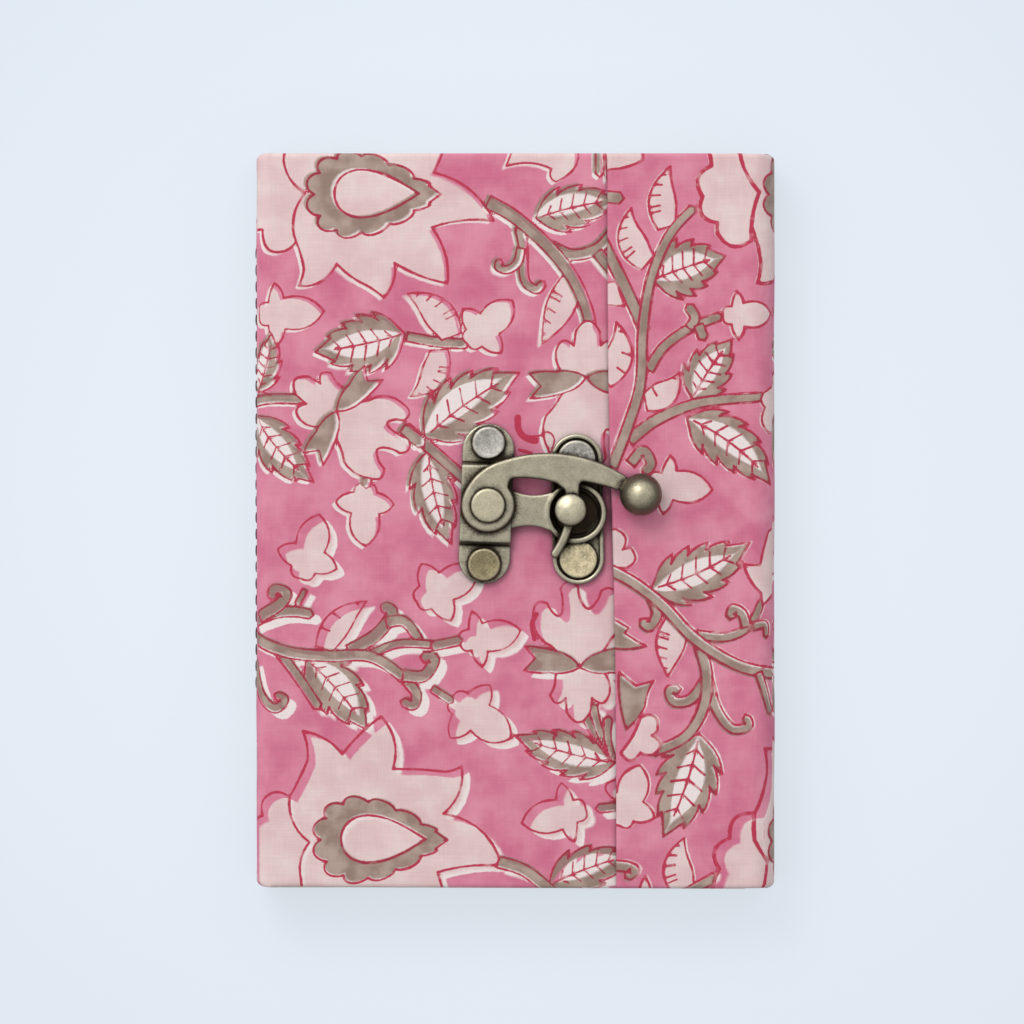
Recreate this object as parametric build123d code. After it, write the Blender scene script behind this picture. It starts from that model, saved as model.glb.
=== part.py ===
"""Cloth-covered handmade diary with a wrap-around flap and a brass swing clasp.

The diary lies on its back cover. X runs from the spine to the fore edge, Y from tail to head,
Z up. The origin is on the table under the middle of the diary. Millimetres.
"""
from build123d import *
import math
import os

# Overall sizes of the closed diary
WIDTH = 126.0
HEIGHT = 178.0

# Layers of a cover, from outside to inside: cloth, card, turned-in cloth, lining paper
CLOTH = 0.4
COVER_CARD = 1.6
FLAP_CARD = 1.0
LINING = 0.25
TURN_IN = 14.0
LINING_MARGIN = 3.0
CORNER_RADIUS = 1.6

# Gatherings of folded handmade paper, sewn through the spine
GATHERING_COUNT = 6
GATHERING_THICKNESS = 2.4
PAGE_MARGIN = 3.5
PAGE_FORE_MARGIN = 1.5
FLYLEAF_THICKNESS = 0.3
LEAF_GAP = 0.1

# Spine strip and its sewing
SPINE_CARD = 1.2
SPINE_BEND = 3.4
SPINE_GAP = 0.1
THREAD = 0.8
STITCH_PROUD = 0.5
STITCH_LENGTH = 2.3
STITCH_PITCH = 4.0
STITCH_HEAD_END = 66.0
STITCH_TAIL_END = -42.0
THREAD_DIP = 0.1

# Fore edge strip and flap
FOLD_RADIUS = 6.0
COVER_TO_FOLD = 0.35
FLAP_GAP = 0.2
FLAP_EDGE_HEAD = 22.4
FLAP_EDGE_TAIL = 24.8

# Clasp: places of the lever pivot on the cover and of the post seen from the pivot
PIVOT_X = -6.4
PIVOT_Y = 3.8
POST_X = 19.9
POST_Y = -1.05

# Clasp plates
PLATE = 1.5
HASP_WIDTH = 12.4
HASP_LENGTH = 38.6
HASP_OFFSET_X = -0.4
HASP_OFFSET_Y = 0.4
HASP_TILT = -2.1
HASP_RIVET_SPAN = 29.4
BLOCK_LENGTH = 19.8
BLOCK_RISE = 1.8
BLOCK_BEVEL = 0.9
CATCH_WIDTH = 12.3
CATCH_LENGTH = 36.2
CATCH_OFFSET_X = 1.7
CATCH_OFFSET_Y = 0.15
CATCH_TILT = 1.0
CATCH_RIVET_SPAN = 24.2
CATCH_RIM = 0.9
CATCH_RECESS = 0.5
WELL_RADIUS = 5.3
WELL_DEPTH = 0.9
RING_RADIUS = 7.45
RING_HOLE = 6.0
RING_OFFSET_X = 1.3
RING_OFFSET_Y = -0.75
RING_GAP = 0.3
RING_ROUND = 0.45
BRIDGE_WAIST = 7.3
BRIDGE_ROOT = 12.4

# Rivets of the plates: tall dished caps on the hasp, flush flat ones in the catch
HASP_CAP = 4.05
HASP_CAP_HEIGHT = 1.4
HASP_CAP_DISH = 0.3
HASP_CAP_ROUND = 0.5
CATCH_CAP = 4.6
CATCH_CAP_HEIGHT = 0.7
CATCH_CAP_DISH = 0.15
CATCH_CAP_ROUND = 0.3
RIVET_SHANK = 1.6
RIVET_BACK = 3.5
RIVET_FIT = 0.05

# Swing lever, its pivot and the post that its hook locks through
LEVER_THICKNESS = 2.2
LEVER_LIFT = 0.1
LEVER_ROUND = 0.6
LEVER_CORNER = 0.9
EYE_RADIUS = 6.45
LEVER_LEAN = 22.0
HOOK_WIDTH = 2.1
HOOK_ROOT_ANGLE = 12.0
HOOK_TIP_ANGLE = -38.6
BALL_RADIUS = 5.1
BALL_X = 36.8
BALL_Y = 2.6
BALL_CLEARANCE = 0.4
PIVOT_SHANK = 2.2
PIVOT_HEAD = 4.15
PIVOT_HEAD_HEIGHT = 1.2
PIVOT_HEAD_ROUND = 0.45
PIVOT_TAIL = 3.4
PIVOT_TAIL_HEIGHT = 0.7
PIVOT_FIT = 0.05
POST_SHANK = 3.4
POST_HEAD = 3.8
POST_HEAD_HEIGHT = 2.1
POST_TAIL = 1.9
HOOK_CLEARANCE = 0.3
HEAD_EDGE = 0.5

# Worked out from the sizes above
COVER = CLOTH + COVER_CARD + CLOTH + LINING
FLAP = CLOTH + FLAP_CARD + CLOTH + LINING
HALF_HEIGHT = HEIGHT / 2
SPINE_X = -WIDTH / 2 + STITCH_PROUD
FORE_X = WIDTH / 2
COVER_SPINE_X = SPINE_X + SPINE_BEND
FOLD_X = FORE_X - FOLD_RADIUS
COVER_FORE_X = FOLD_X - COVER_TO_FOLD
PAGE_FORE_X = COVER_FORE_X - PAGE_FORE_MARGIN
PAGE_SPINE_X = SPINE_X + CLOTH + SPINE_CARD + SPINE_GAP
PAGE_LENGTH = HEIGHT - 2 * PAGE_MARGIN
PAGES_Z = COVER
FLYLEAF_Z = PAGES_Z + GATHERING_COUNT * GATHERING_THICKNESS + LEAF_GAP
FRONT_Z = FLYLEAF_Z + FLYLEAF_THICKNESS + LEAF_GAP
FRONT_TOP = FRONT_Z + COVER
FLAP_Z = FRONT_TOP + FLAP_GAP
FLAP_TOP = FLAP_Z + FLAP
BLOCK_TOP = FRONT_TOP + PLATE + BLOCK_RISE
RING_Z = FRONT_TOP + PLATE + RING_GAP
LEVER_Z = BLOCK_TOP + LEVER_LIFT
LEVER_TOP = LEVER_Z + LEVER_THICKNESS
PIVOT_HEAD_Z = LEVER_TOP + LEVER_LIFT
BALL_Z = FLAP_TOP + BALL_CLEARANCE + BALL_RADIUS
POST_HEAD_Z = LEVER_TOP + HOOK_CLEARANCE
HOOK_RADIUS = math.hypot(POST_X, POST_Y)
CATCH_X = POST_X + CATCH_OFFSET_X
CATCH_Y = POST_Y + CATCH_OFFSET_Y
RING_X = POST_X + RING_OFFSET_X
RING_Y = POST_Y + RING_OFFSET_Y


def save(name, *solids):
    """Write one node, a single solid or a group of separate ones."""
    shape = solids[0] if len(solids) == 1 else Compound(children=list(solids))
    export_step(shape, os.path.join("parts", name + ".step"))


def slab(face, low, high):
    """Solid of a plan outline between two heights."""
    return Pos(0, 0, low) * extrude(face, amount=high - low)


def along_spine(section, length):
    """Solid of a section drawn in X and Z, run along the spine and centred on it."""
    return extrude(Plane.XZ * section, amount=length / 2, both=True)


def strip(x_low, x_high, z_low, z_high):
    """Rectangle of a section in X and Z."""
    middle = Pos((x_low + x_high) / 2, (z_low + z_high) / 2)
    return middle * Rectangle(x_high - x_low, z_high - z_low)


def bend(x, z, radius, thickness, toward_x, toward_z):
    """Quarter bend of a section about a centre, in the quadrant that the signs name."""
    ring = Circle(radius) - Circle(radius - thickness)
    quadrant = Pos(toward_x * radius / 2, toward_z * radius / 2) * Rectangle(radius, radius)
    return Pos(x, z) * (ring & quadrant)


def panel_outline(hinge_x, head_x, tail_x, inset):
    """Plan of a cover panel, drawn in by a margin on its three free sides."""
    toward = math.copysign(1, head_x - hinge_x)
    half = HALF_HEIGHT - inset
    head = (head_x - toward * inset, half)
    tail = (tail_x - toward * inset, -half)
    face = make_face(Polyline((hinge_x, half), head, tail, (hinge_x, -half), close=True))
    if CORNER_RADIUS > inset:
        free = sorted(face.vertices(), key=lambda corner: -toward * corner.X)[:2]
        face = fillet(free, CORNER_RADIUS - inset)
    return face


def wrapped_panel(hinge_x, head_x, tail_x, inner_z, card, outward):
    """Card, cloth and lining of one cover panel, stacked from its inner face outward."""

    def layer(inset, low, high):
        levels = sorted((inner_z + outward * low, inner_z + outward * high))
        return slab(panel_outline(hinge_x, head_x, tail_x, inset), *levels)

    turned = LINING + CLOTH
    outer = turned + card
    board = layer(CLOTH, turned, outer)
    window = layer(TURN_IN, LINING, turned)
    cloth = layer(0, LINING, outer + CLOTH) - board - window
    lining = layer(LINING_MARGIN, 0, LINING) + window
    return board, cloth, lining


def clasp_place(x, y):
    """Place on the cover of a point that is measured from the lever pivot."""
    return (PIVOT_X + x, PIVOT_Y + y)


def along_plate(x, y, tilt, reach):
    """Point on a plate's long axis, at a reach from the plate's middle."""
    angle = math.radians(90 + tilt)
    return clasp_place(x + reach * math.cos(angle), y + reach * math.sin(angle))


def rod(place, radius, low, high):
    """Upright cylinder between two heights."""
    return Pos(place[0], place[1], low) * Cylinder(
        radius, high - low, align=(Align.CENTER, Align.CENTER, Align.MIN)
    )


def crown_arc(radius, edge, top):
    """Arc of a ball's crown or dish, from a rim height at a radius to the axis."""
    rise = top - edge
    ball = (radius**2 + rise**2) / (2 * rise)
    half = math.asin(radius / abs(ball)) / 2
    middle = (abs(ball) * math.sin(half), top - ball + ball * math.cos(half))
    return ThreePointArc((radius, edge), middle, (0, top))


def dome(place, radius, low, height):
    """Low domed head with a short upright edge."""
    edge = height * HEAD_EDGE
    side = Polyline((0, height), (0, 0), (radius, 0), (radius, edge))
    profile = make_face(side + crown_arc(radius, edge, height))
    return Pos(place[0], place[1], low) * revolve(Plane.XZ * profile, Axis.Z)


def rivet_cap(place, low, radius, height, dish, rounding):
    """Dished cap of a plate rivet on its shank, which reaches the cover's card."""
    edge = height - rounding
    lip = radius - rounding
    shoulder = rounding * math.sqrt(0.5)
    bottom = height - dish
    side = Polyline((0, bottom), (0, 0), (radius, 0), (radius, edge))
    rim = ThreePointArc((radius, edge), (lip + shoulder, edge + shoulder), (lip, height))
    profile = make_face(side + rim + crown_arc(lip, height, bottom))
    cap = Pos(place[0], place[1], low) * revolve(Plane.XZ * profile, Axis.Z)
    return cap + rod(place, RIVET_SHANK, FRONT_Z + LINING + CLOTH, low)


HASP_RIVETS = [
    along_plate(HASP_OFFSET_X, HASP_OFFSET_Y, HASP_TILT, side * HASP_RIVET_SPAN / 2)
    for side in (1, -1)
]
CATCH_RIVETS = [
    along_plate(CATCH_X, CATCH_Y, CATCH_TILT, side * CATCH_RIVET_SPAN / 2) for side in (1, -1)
]
RIVETS = HASP_RIVETS + CATCH_RIVETS
PIVOT = clasp_place(0, 0)
POST = clasp_place(POST_X, POST_Y)


def make_back_cover():
    """Back panel, which the diary rests on, and the soft fold up to the fore edge."""
    board, cloth, lining = wrapped_panel(
        COVER_SPINE_X, FOLD_X, FOLD_X, COVER, COVER_CARD, outward=-1
    )
    save("back_board", board)
    save("back_cloth", cloth)
    save("back_lining", lining)
    fold = bend(FOLD_X, FOLD_RADIUS, FOLD_RADIUS, FLAP, 1, -1)
    save("lower_fold", along_spine(fold, HEIGHT))


def make_spine():
    """Spine strip: cloth bent up from the back cover, card behind it, soft hinge above it."""
    hinge_z = FRONT_TOP - SPINE_BEND
    cloth = bend(COVER_SPINE_X, SPINE_BEND, SPINE_BEND, CLOTH, -1, -1)
    cloth += strip(SPINE_X, SPINE_X + CLOTH, SPINE_BEND, hinge_z)
    save("spine_cloth", along_spine(cloth, HEIGHT))
    card_x = SPINE_X + CLOTH
    card = strip(card_x, card_x + SPINE_CARD, SPINE_BEND, hinge_z)
    save("spine_card", along_spine(card, HEIGHT - 2 * CLOTH))
    hinge = bend(COVER_SPINE_X, hinge_z, SPINE_BEND, CLOTH, -1, 1)
    save("front_hinge_cloth", along_spine(hinge, HEIGHT))


def make_stitches():
    """One row of running stitches on the spine for each gathering, at the same stations."""
    count = int((STITCH_HEAD_END - STITCH_TAIL_END) / STITCH_PITCH)
    dip_x = SPINE_X - THREAD_DIP
    crown_x = SPINE_X - STITCH_PROUD
    slope = STITCH_LENGTH / 4
    outline = [(SPINE_X, STITCH_HEAD_END)]
    for station in range(count):
        start = STITCH_HEAD_END - station * STITCH_PITCH
        end = start - STITCH_LENGTH
        outline += [(dip_x, start), (crown_x, start - slope)]
        outline += [(crown_x, end + slope), (dip_x, end)]
    outline.append((SPINE_X, outline[-1][1]))
    row = make_face(Polyline(*outline, close=True))
    rows = []
    for gathering in range(GATHERING_COUNT):
        middle = PAGES_Z + (gathering + 0.5) * GATHERING_THICKNESS
        rows.append(slab(row, middle - THREAD / 2, middle + THREAD / 2))
    save("spine_stitches", *rows)


def make_pages():
    """Gatherings with rounded folds at the spine, and the flyleaf that turns with the cover."""
    half = GATHERING_THICKNESS / 2
    for gathering in range(GATHERING_COUNT):
        low = PAGES_Z + gathering * GATHERING_THICKNESS
        section = strip(PAGE_SPINE_X + half, PAGE_FORE_X, low, low + GATHERING_THICKNESS)
        section += Pos(PAGE_SPINE_X + half, low + half) * Circle(half)
        save(f"gathering_{gathering + 1}", along_spine(section, PAGE_LENGTH))
    leaf = strip(COVER_SPINE_X, PAGE_FORE_X, FLYLEAF_Z, FLYLEAF_Z + FLYLEAF_THICKNESS)
    save("flyleaf", along_spine(leaf, PAGE_LENGTH))


def make_front_cover():
    """Front panel with the rivet holes of both clasp plates."""
    board, cloth, lining = wrapped_panel(
        COVER_SPINE_X, COVER_FORE_X, COVER_FORE_X, FRONT_Z, COVER_CARD, outward=1
    )
    for place in RIVETS:
        hole = rod(place, RIVET_SHANK + RIVET_FIT, FRONT_Z, FRONT_TOP)
        board -= hole
        cloth -= hole
        lining -= rod(place, RIVET_BACK + RIVET_FIT, FRONT_Z, FRONT_Z + LINING + CLOTH)
    save("front_board", board)
    save("front_cloth", cloth)
    save("front_lining", lining)


def make_fore_edge():
    """Strip round the fore edge and the soft fold at its top."""
    x = FORE_X
    low = FOLD_RADIUS
    high = FLAP_TOP - FOLD_RADIUS
    save("fore_edge_cloth", along_spine(strip(x - CLOTH, x, low, high), HEIGHT))
    x -= CLOTH
    save("fore_edge_card", along_spine(strip(x - FLAP_CARD, x, low, high), HEIGHT - 2 * CLOTH))
    x -= FLAP_CARD
    inner = strip(x - CLOTH - LINING, x, low, high)
    save("fore_edge_lining", along_spine(inner, HEIGHT - 2 * LINING_MARGIN))
    fold = bend(FOLD_X, high, FOLD_RADIUS, FLAP, 1, 1)
    save("upper_fold", along_spine(fold, HEIGHT))


def make_flap():
    """Flap that lies over the front cover, with its edge cut a little out of square."""
    board, cloth, lining = wrapped_panel(
        FOLD_X, FLAP_EDGE_HEAD, FLAP_EDGE_TAIL, FLAP_Z, FLAP_CARD, outward=1
    )
    save("flap_card", board)
    save("flap_cloth", cloth)
    save("flap_lining", lining)


def make_hasp():
    """Hasp plate: riveted bar, raised pivot block, waisted bridge and ring round the post."""
    middle = Pos(HASP_OFFSET_X, HASP_OFFSET_Y)
    bar = middle * Rot(0, 0, 90 + HASP_TILT) * SlotOverall(HASP_LENGTH, HASP_WIDTH)
    block = middle * Rot(0, 0, HASP_TILT) * Rectangle(HASP_WIDTH, BLOCK_LENGTH)
    half_root = BRIDGE_ROOT / 2
    half_waist = BRIDGE_WAIST / 2
    left = HASP_WIDTH / 4
    waist = (HASP_WIDTH / 2 + RING_X - RING_RADIUS) / 2
    right = RING_X - (RING_RADIUS + RING_HOLE) / 4
    left_y = RING_Y / 3
    waist_y = RING_Y * 2 / 3
    bridge = make_face(
        ThreePointArc(
            (left, left_y + half_root), (waist, waist_y + half_waist), (right, RING_Y + half_root)
        )
        + Line((right, RING_Y + half_root), (right, RING_Y - half_root))
        + ThreePointArc(
            (right, RING_Y - half_root), (waist, waist_y - half_waist), (left, left_y - half_root)
        )
        + Line((left, left_y - half_root), (left, left_y + half_root))
    )
    bridge -= Pos(RING_X, RING_Y) * Circle(RING_RADIUS - RING_ROUND)
    raised = slab(block, FRONT_TOP, BLOCK_TOP)
    ends = raised.faces().sort_by(Axis.Z)[-1].edges().sort_by(Axis.Y)
    raised = chamfer([ends[0], ends[-1]], BLOCK_BEVEL)
    arm = slab(bridge, RING_Z, BLOCK_TOP - RING_ROUND / 2)
    section = strip(RING_HOLE, RING_RADIUS, RING_Z, BLOCK_TOP)
    crown = section.vertices().sort_by(Axis.Y)[-2:]
    ring = revolve(Plane.XZ * fillet(crown, RING_ROUND), Axis.Z)
    arm += Pos(RING_X, RING_Y) * ring
    plate = slab(bar, FRONT_TOP, FRONT_TOP + PLATE) + raised + arm
    plate = Pos(PIVOT_X, PIVOT_Y) * plate
    for place in HASP_RIVETS:
        plate -= rod(place, RIVET_SHANK + RIVET_FIT, FRONT_TOP, FRONT_TOP + PLATE)
    plate -= rod(PIVOT, PIVOT_SHANK + PIVOT_FIT, FRONT_TOP, BLOCK_TOP)
    plate -= rod(PIVOT, PIVOT_TAIL + PIVOT_FIT, FRONT_TOP, FRONT_TOP + PIVOT_TAIL_HEIGHT)
    save("hasp_plate", plate)


def make_catch():
    """Catch plate with a raised rim, and the slotted post that stands in it."""
    outline = SlotOverall(CATCH_LENGTH, CATCH_WIDTH)
    recess = SlotOverall(CATCH_LENGTH - 2 * CATCH_RIM, CATCH_WIDTH - 2 * CATCH_RIM)
    floor = FRONT_TOP + PLATE - CATCH_RECESS
    plate = slab(outline, FRONT_TOP, FRONT_TOP + PLATE)
    plate -= slab(recess, floor, FRONT_TOP + PLATE)
    x, y = clasp_place(CATCH_X, CATCH_Y)
    plate = Pos(x, y) * Rot(0, 0, 90 + CATCH_TILT) * plate
    for place in CATCH_RIVETS:
        plate -= rod(place, RIVET_SHANK + RIVET_FIT, FRONT_TOP, floor)
    well = FRONT_TOP + PLATE - WELL_DEPTH
    plate -= rod(clasp_place(RING_X, RING_Y), WELL_RADIUS, well, FRONT_TOP + PLATE)
    plate -= rod(POST, POST_TAIL + RIVET_FIT, FRONT_TOP, well)
    save("catch_plate", plate)

    half_slot = HOOK_WIDTH / 2 + HOOK_CLEARANCE
    slot_low = LEVER_Z - HOOK_CLEARANCE
    slot = rod(PIVOT, HOOK_RADIUS + half_slot, slot_low, POST_HEAD_Z)
    slot -= rod(PIVOT, HOOK_RADIUS - half_slot, slot_low, POST_HEAD_Z)
    post = rod(POST, POST_SHANK, well, POST_HEAD_Z) - slot
    post += rod(POST, POST_TAIL, FRONT_TOP, well)
    post += dome(POST, POST_HEAD, POST_HEAD_Z, POST_HEAD_HEIGHT)
    save("catch_post", post)
    return floor


def make_rivets(catch_floor):
    """Four plate rivets, and their flat backs let into the lining inside the cover."""
    hasp_top = FRONT_TOP + PLATE
    tall = (HASP_CAP, HASP_CAP_HEIGHT, HASP_CAP_DISH, HASP_CAP_ROUND)
    flush = (CATCH_CAP, CATCH_CAP_HEIGHT, CATCH_CAP_DISH, CATCH_CAP_ROUND)
    caps = [rivet_cap(place, hasp_top, *tall) for place in HASP_RIVETS]
    caps += [rivet_cap(place, catch_floor, *flush) for place in CATCH_RIVETS]
    save("plate_rivets", *caps)
    backs = [rod(place, RIVET_BACK, FRONT_Z, FRONT_Z + LINING + CLOTH) for place in RIVETS]
    save("rivet_backs", *backs)


def make_pivot():
    """Pivot rivet: tail let into the plate's underside, shank through the lever, flat head."""
    pivot = rod(PIVOT, PIVOT_TAIL, FRONT_TOP, FRONT_TOP + PIVOT_TAIL_HEIGHT)
    pivot += rod(PIVOT, PIVOT_SHANK, FRONT_TOP + PIVOT_TAIL_HEIGHT, PIVOT_HEAD_Z)
    head = rod(PIVOT, PIVOT_HEAD, PIVOT_HEAD_Z, PIVOT_HEAD_Z + PIVOT_HEAD_HEIGHT)
    pivot += fillet(head.faces().sort_by(Axis.Z)[-1].edges(), PIVOT_HEAD_ROUND)
    save("pivot_rivet", pivot)


def arm_point(along, up):
    """Point of the lever's outline, in shares of the distance from the pivot to the ball."""
    return (along * BALL_X, up * BALL_X)


def make_lever():
    """Cast swing lever: eye, humped arm, hook that passes under the post's head, ball."""
    lean = math.radians(LEVER_LEAN)
    heel = (-EYE_RADIUS * math.cos(lean), EYE_RADIUS * math.sin(lean))
    shoulder = arm_point(0.082, 0.291)
    nose = arm_point(0.905, 0.190)
    chin = arm_point(0.853, 0.098)
    throat = arm_point(0.604, 0.158)
    neck = arm_point(0.451, 0.144)
    notch = arm_point(0.149, 0.175)
    arm = make_face(
        ThreePointArc(heel, arm_point(-0.071, 0.204), shoulder)
        + ThreePointArc(shoulder, arm_point(0.448, 0.342), nose)
        + Polyline(nose, (BALL_X, BALL_Y), chin)
        + ThreePointArc(chin, arm_point(0.747, 0.130), throat)
        + Polyline(throat, arm_point(0.595, 0.052), arm_point(0.525, 0.082), neck)
        + ThreePointArc(neck, arm_point(0.312, 0.174), notch)
        + Polyline(notch, arm_point(0.120, 0.082), heel)
    )
    hook = Circle(HOOK_RADIUS + HOOK_WIDTH / 2) - Circle(HOOK_RADIUS - HOOK_WIDTH / 2)
    reach = 2 * HOOK_RADIUS
    root = math.radians(HOOK_ROOT_ANGLE)
    tip = math.radians(HOOK_TIP_ANGLE)
    wedge = make_face(
        Polyline(
            (0, 0),
            (reach * math.cos(tip), reach * math.sin(tip)),
            (reach * math.cos(root), reach * math.sin(root)),
            close=True,
        )
    )
    plan = arm + (hook & wedge) + Circle(EYE_RADIUS)
    clear = POST_HEAD + LEVER_CORNER / 4
    under = plan.vertices().filter_by(lambda c: 0 < c.X < BALL_X - LEVER_CORNER)
    under = under.filter_by(lambda c: c.Y < shoulder[1] / 1.5)
    under = under.filter_by(lambda c: math.dist((c.X, c.Y), (POST_X, POST_Y)) > clear)
    plan = fillet(under, LEVER_CORNER)
    lever = extrude(plan, amount=LEVER_THICKNESS)
    lever = fillet(lever.faces().sort_by(Axis.Z)[-1].edges(), LEVER_ROUND)
    lever = Pos(PIVOT_X, PIVOT_Y, LEVER_Z) * lever
    lever -= rod(PIVOT, PIVOT_SHANK + PIVOT_FIT, LEVER_Z, LEVER_TOP)
    ball = Pos(*clasp_place(BALL_X, BALL_Y), BALL_Z) * Sphere(BALL_RADIUS)
    save("swing_lever", lever + ball)


def main():
    os.makedirs("parts", exist_ok=True)
    make_back_cover()
    make_spine()
    make_stitches()
    make_pages()
    make_front_cover()
    make_fore_edge()
    make_flap()
    make_hasp()
    floor = make_catch()
    make_rivets(floor)
    make_pivot()
    make_lever()


main()
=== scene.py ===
import math

import bpy
import numpy as np
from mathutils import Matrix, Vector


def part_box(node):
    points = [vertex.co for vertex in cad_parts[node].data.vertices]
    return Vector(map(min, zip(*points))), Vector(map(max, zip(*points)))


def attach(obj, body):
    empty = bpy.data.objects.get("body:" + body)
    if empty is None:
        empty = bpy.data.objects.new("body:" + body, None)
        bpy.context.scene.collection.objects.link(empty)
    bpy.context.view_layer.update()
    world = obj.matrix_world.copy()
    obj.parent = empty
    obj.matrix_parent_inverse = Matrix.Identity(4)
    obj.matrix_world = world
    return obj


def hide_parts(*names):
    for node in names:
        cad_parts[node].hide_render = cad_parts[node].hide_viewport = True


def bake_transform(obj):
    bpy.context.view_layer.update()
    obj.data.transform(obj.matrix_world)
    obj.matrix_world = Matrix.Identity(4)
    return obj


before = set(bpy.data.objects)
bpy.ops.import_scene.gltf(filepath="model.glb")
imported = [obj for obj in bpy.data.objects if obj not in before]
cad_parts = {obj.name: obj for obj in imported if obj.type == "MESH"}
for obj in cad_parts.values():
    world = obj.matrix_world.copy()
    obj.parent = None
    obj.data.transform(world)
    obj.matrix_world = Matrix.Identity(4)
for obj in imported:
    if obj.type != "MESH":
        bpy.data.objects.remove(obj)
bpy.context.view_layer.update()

bl_info = {
    "name": "Cloth-covered diary with a swing clasp",
    "version": (1, 0, 0),
    "blender": (4, 5, 0),
    "location": "View3D > Sidebar > Diary",
    "description": "Dresses the diary's CAD frame: printed cotton, handmade paper, thread and antiqued brass",
    "category": "Object",
}

MM = 0.001
QUARTER = math.pi / 2

# Sizes of the CAD frame, in millimetres, read from its nodes where a node has them.


def node_box(name):
    """Lowest and highest corner of a CAD node, in millimetres."""
    return [tuple(value / MM for value in corner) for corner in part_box(name)]


(SPINE_X, TAIL_Y, _), _ = node_box("spine_cloth")
HEAD_Y = node_box("back_cloth")[1][1]
(HINGE_X, _, FRONT_IN_Z), (FRONT_FORE_X, _, FRONT_TOP_Z) = node_box("front_cloth")
(_, _, FLAP_IN_Z), (FOLD_X, _, FLAP_TOP_Z) = node_box("flap_cloth")
FORE_X = node_box("fore_edge_cloth")[1][0]
FOLD_RADIUS = FORE_X - FOLD_X
SPINE_RADIUS = HINGE_X - SPINE_X

# The cloth wraps its card this deep: on the covers, the flap, the spine and the front's hinge.
COVER_WRAP = FRONT_TOP_Z - FRONT_IN_Z
FLAP_WRAP = FLAP_TOP_Z - FLAP_IN_Z
SPINE_WRAP, HINGE_WRAP = 1.5, 0.8
# The depth changes over these distances: by the hinges, and on the back by the fore edge.
HINGE_STEP, BACK_STEP = 0.6, 6.0
# How far the cloth is turned in, and the length that it takes to go round an edge.
TURN_IN, EDGE_RUN = 14.0, 2.0
# In the front's hinge the cloth is turned in less, so that it opens flat.
HINGE_TURN_IN, HINGE_REACH = 3.2, 10.5
# The turn-ins lie this much deeper than the lining papers' faces, which cover them.
TUCK = 0.12
# How far the wrapped cloth stands out at head and tail, and at the flap's free edge.
EDGE_BULGE, FLAP_BULGE = 1.25, 0.95
CORNER_ROUND = 1.9
# Heights of the slow swell and the finer ripple of the cloth over its card.
SWELL, RIPPLE = 0.07, 0.04
# The flap's free edge isn't quite straight: it steps over by the clasp.
FLAP_EDGE_X, FLAP_EDGE_STEP, FLAP_EDGE_SPAN = 23.5, 1.1, 35.0
# The front cloth's points are fine this far in under the flap, and this far apart from there on.
FLAP_COVER, COVERED_GRID = 4.0, 0.95
# The tail edge isn't quite square to the spine.
TAIL_SKEW = 0.45

LINING = 0.25
# The front's lining starts this far from the hinge, and a flap's lining runs on this far past a crease.
LINING_INSET, CREASE_LAP = 1.6, 2.0
# The fore edge's lining lies this much lower than the flap's, which it meets.
LINING_DROP = 0.05
# Spacing of a lining's points where it goes through a crease.
CREASE_GRID = 1.2
# The flyleaf turns up over this distance from the sewing, and the pages' points along it are this far apart.
LEAF_BEND, PAGE_GRID = 2.0, 3.0

# Sewing on the spine: rows of stitches, and how far a stitch may lie aslant, in radians.
STITCH_ROWS, STITCH_SLANT = 6, 0.12

# The catch plate's well, round the post, and the lever's ball: middle and radius, and the width of the
# rim over which the metal's colour changes there.
WELL, WELL_RADIUS = (14.8, 2.0, 21.6), 5.2
BALL, BALL_RADIUS = (30.4, 6.4, 27.95), 5.2
SPOT_RIM = 0.3
# How uneven wear leaves the metal, and the rivet caps.
WEAR, CAP_WEAR = 0.22, 0.4
# The rivet caps' platings change between these places, across and along the cover.
CAPS_FROM, CAPS_TO = -5.0, 8.0

# The floor lies just under the cloth's lowest swell.
FLOOR_Z, FLOOR_REACH = -0.2, 3000.0
# The floor is painted paler near the diary, a painted pool of light out to these distances from its middle,
# and painted a little darker close by it, a painted shadow.
FLOOR_PALE, FLOOR_PLAIN, FLOOR_SHADE = 60.0, 180.0, 30.0
# Directions of the key light and of the brighter side of the room.
KEY_WAY, SKY_WAY = (-0.3, 0.52, 0.8), (-0.3, 0.75, 0.59)
# The room's light on its darker and its brighter side, as shares of the sky's strength.
SKY_LEAST, SKY_MOST = 0.3, 1.45

# Runs round the outside of the case from the flap's fold: bend radius, or 0 for a straight, and length.
CASE_RUNS = [
    (FOLD_RADIUS, FOLD_RADIUS * QUARTER),
    (0.0, FLAP_TOP_Z - 2 * FOLD_RADIUS),
    (FOLD_RADIUS, FOLD_RADIUS * QUARTER),
    (0.0, FOLD_X - HINGE_X),
    (SPINE_RADIUS, SPINE_RADIUS * QUARTER),
    (0.0, FRONT_TOP_Z - 2 * SPINE_RADIUS),
    (SPINE_RADIUS, SPINE_RADIUS * QUARTER),
    (0.0, FRONT_FORE_X - HINGE_X),
]
(
    WALL_S,
    LOWER_FOLD_S,
    BACK_S,
    LOWER_BEND_S,
    SPINE_S,
    HINGE_S,
    FRONT_S,
    FRONT_END_S,
) = np.cumsum([length for _, length in CASE_RUNS])
# The print's x runs round the case from the flap; the front's own x is this much less.
FRONT_PRINT_X = FOLD_X + FRONT_S - HINGE_X
# The blocks repeat along the cloth: the flap's print at an x is the front's this much further back.
REPEAT_X = 110.6
# A block's print is cut off short of its drawn ends, where the next one takes over.
BLOCK_LEFT_X, FRONT_RIGHT_X, FLAP_RIGHT_X = -63.5, 25.5, 63.5

# The print. Distances are in millimetres, and past this one an ink's edge isn't measured.
FAR = 9.0
INKS = ("ground", "petal", "leaf", "line")
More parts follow.
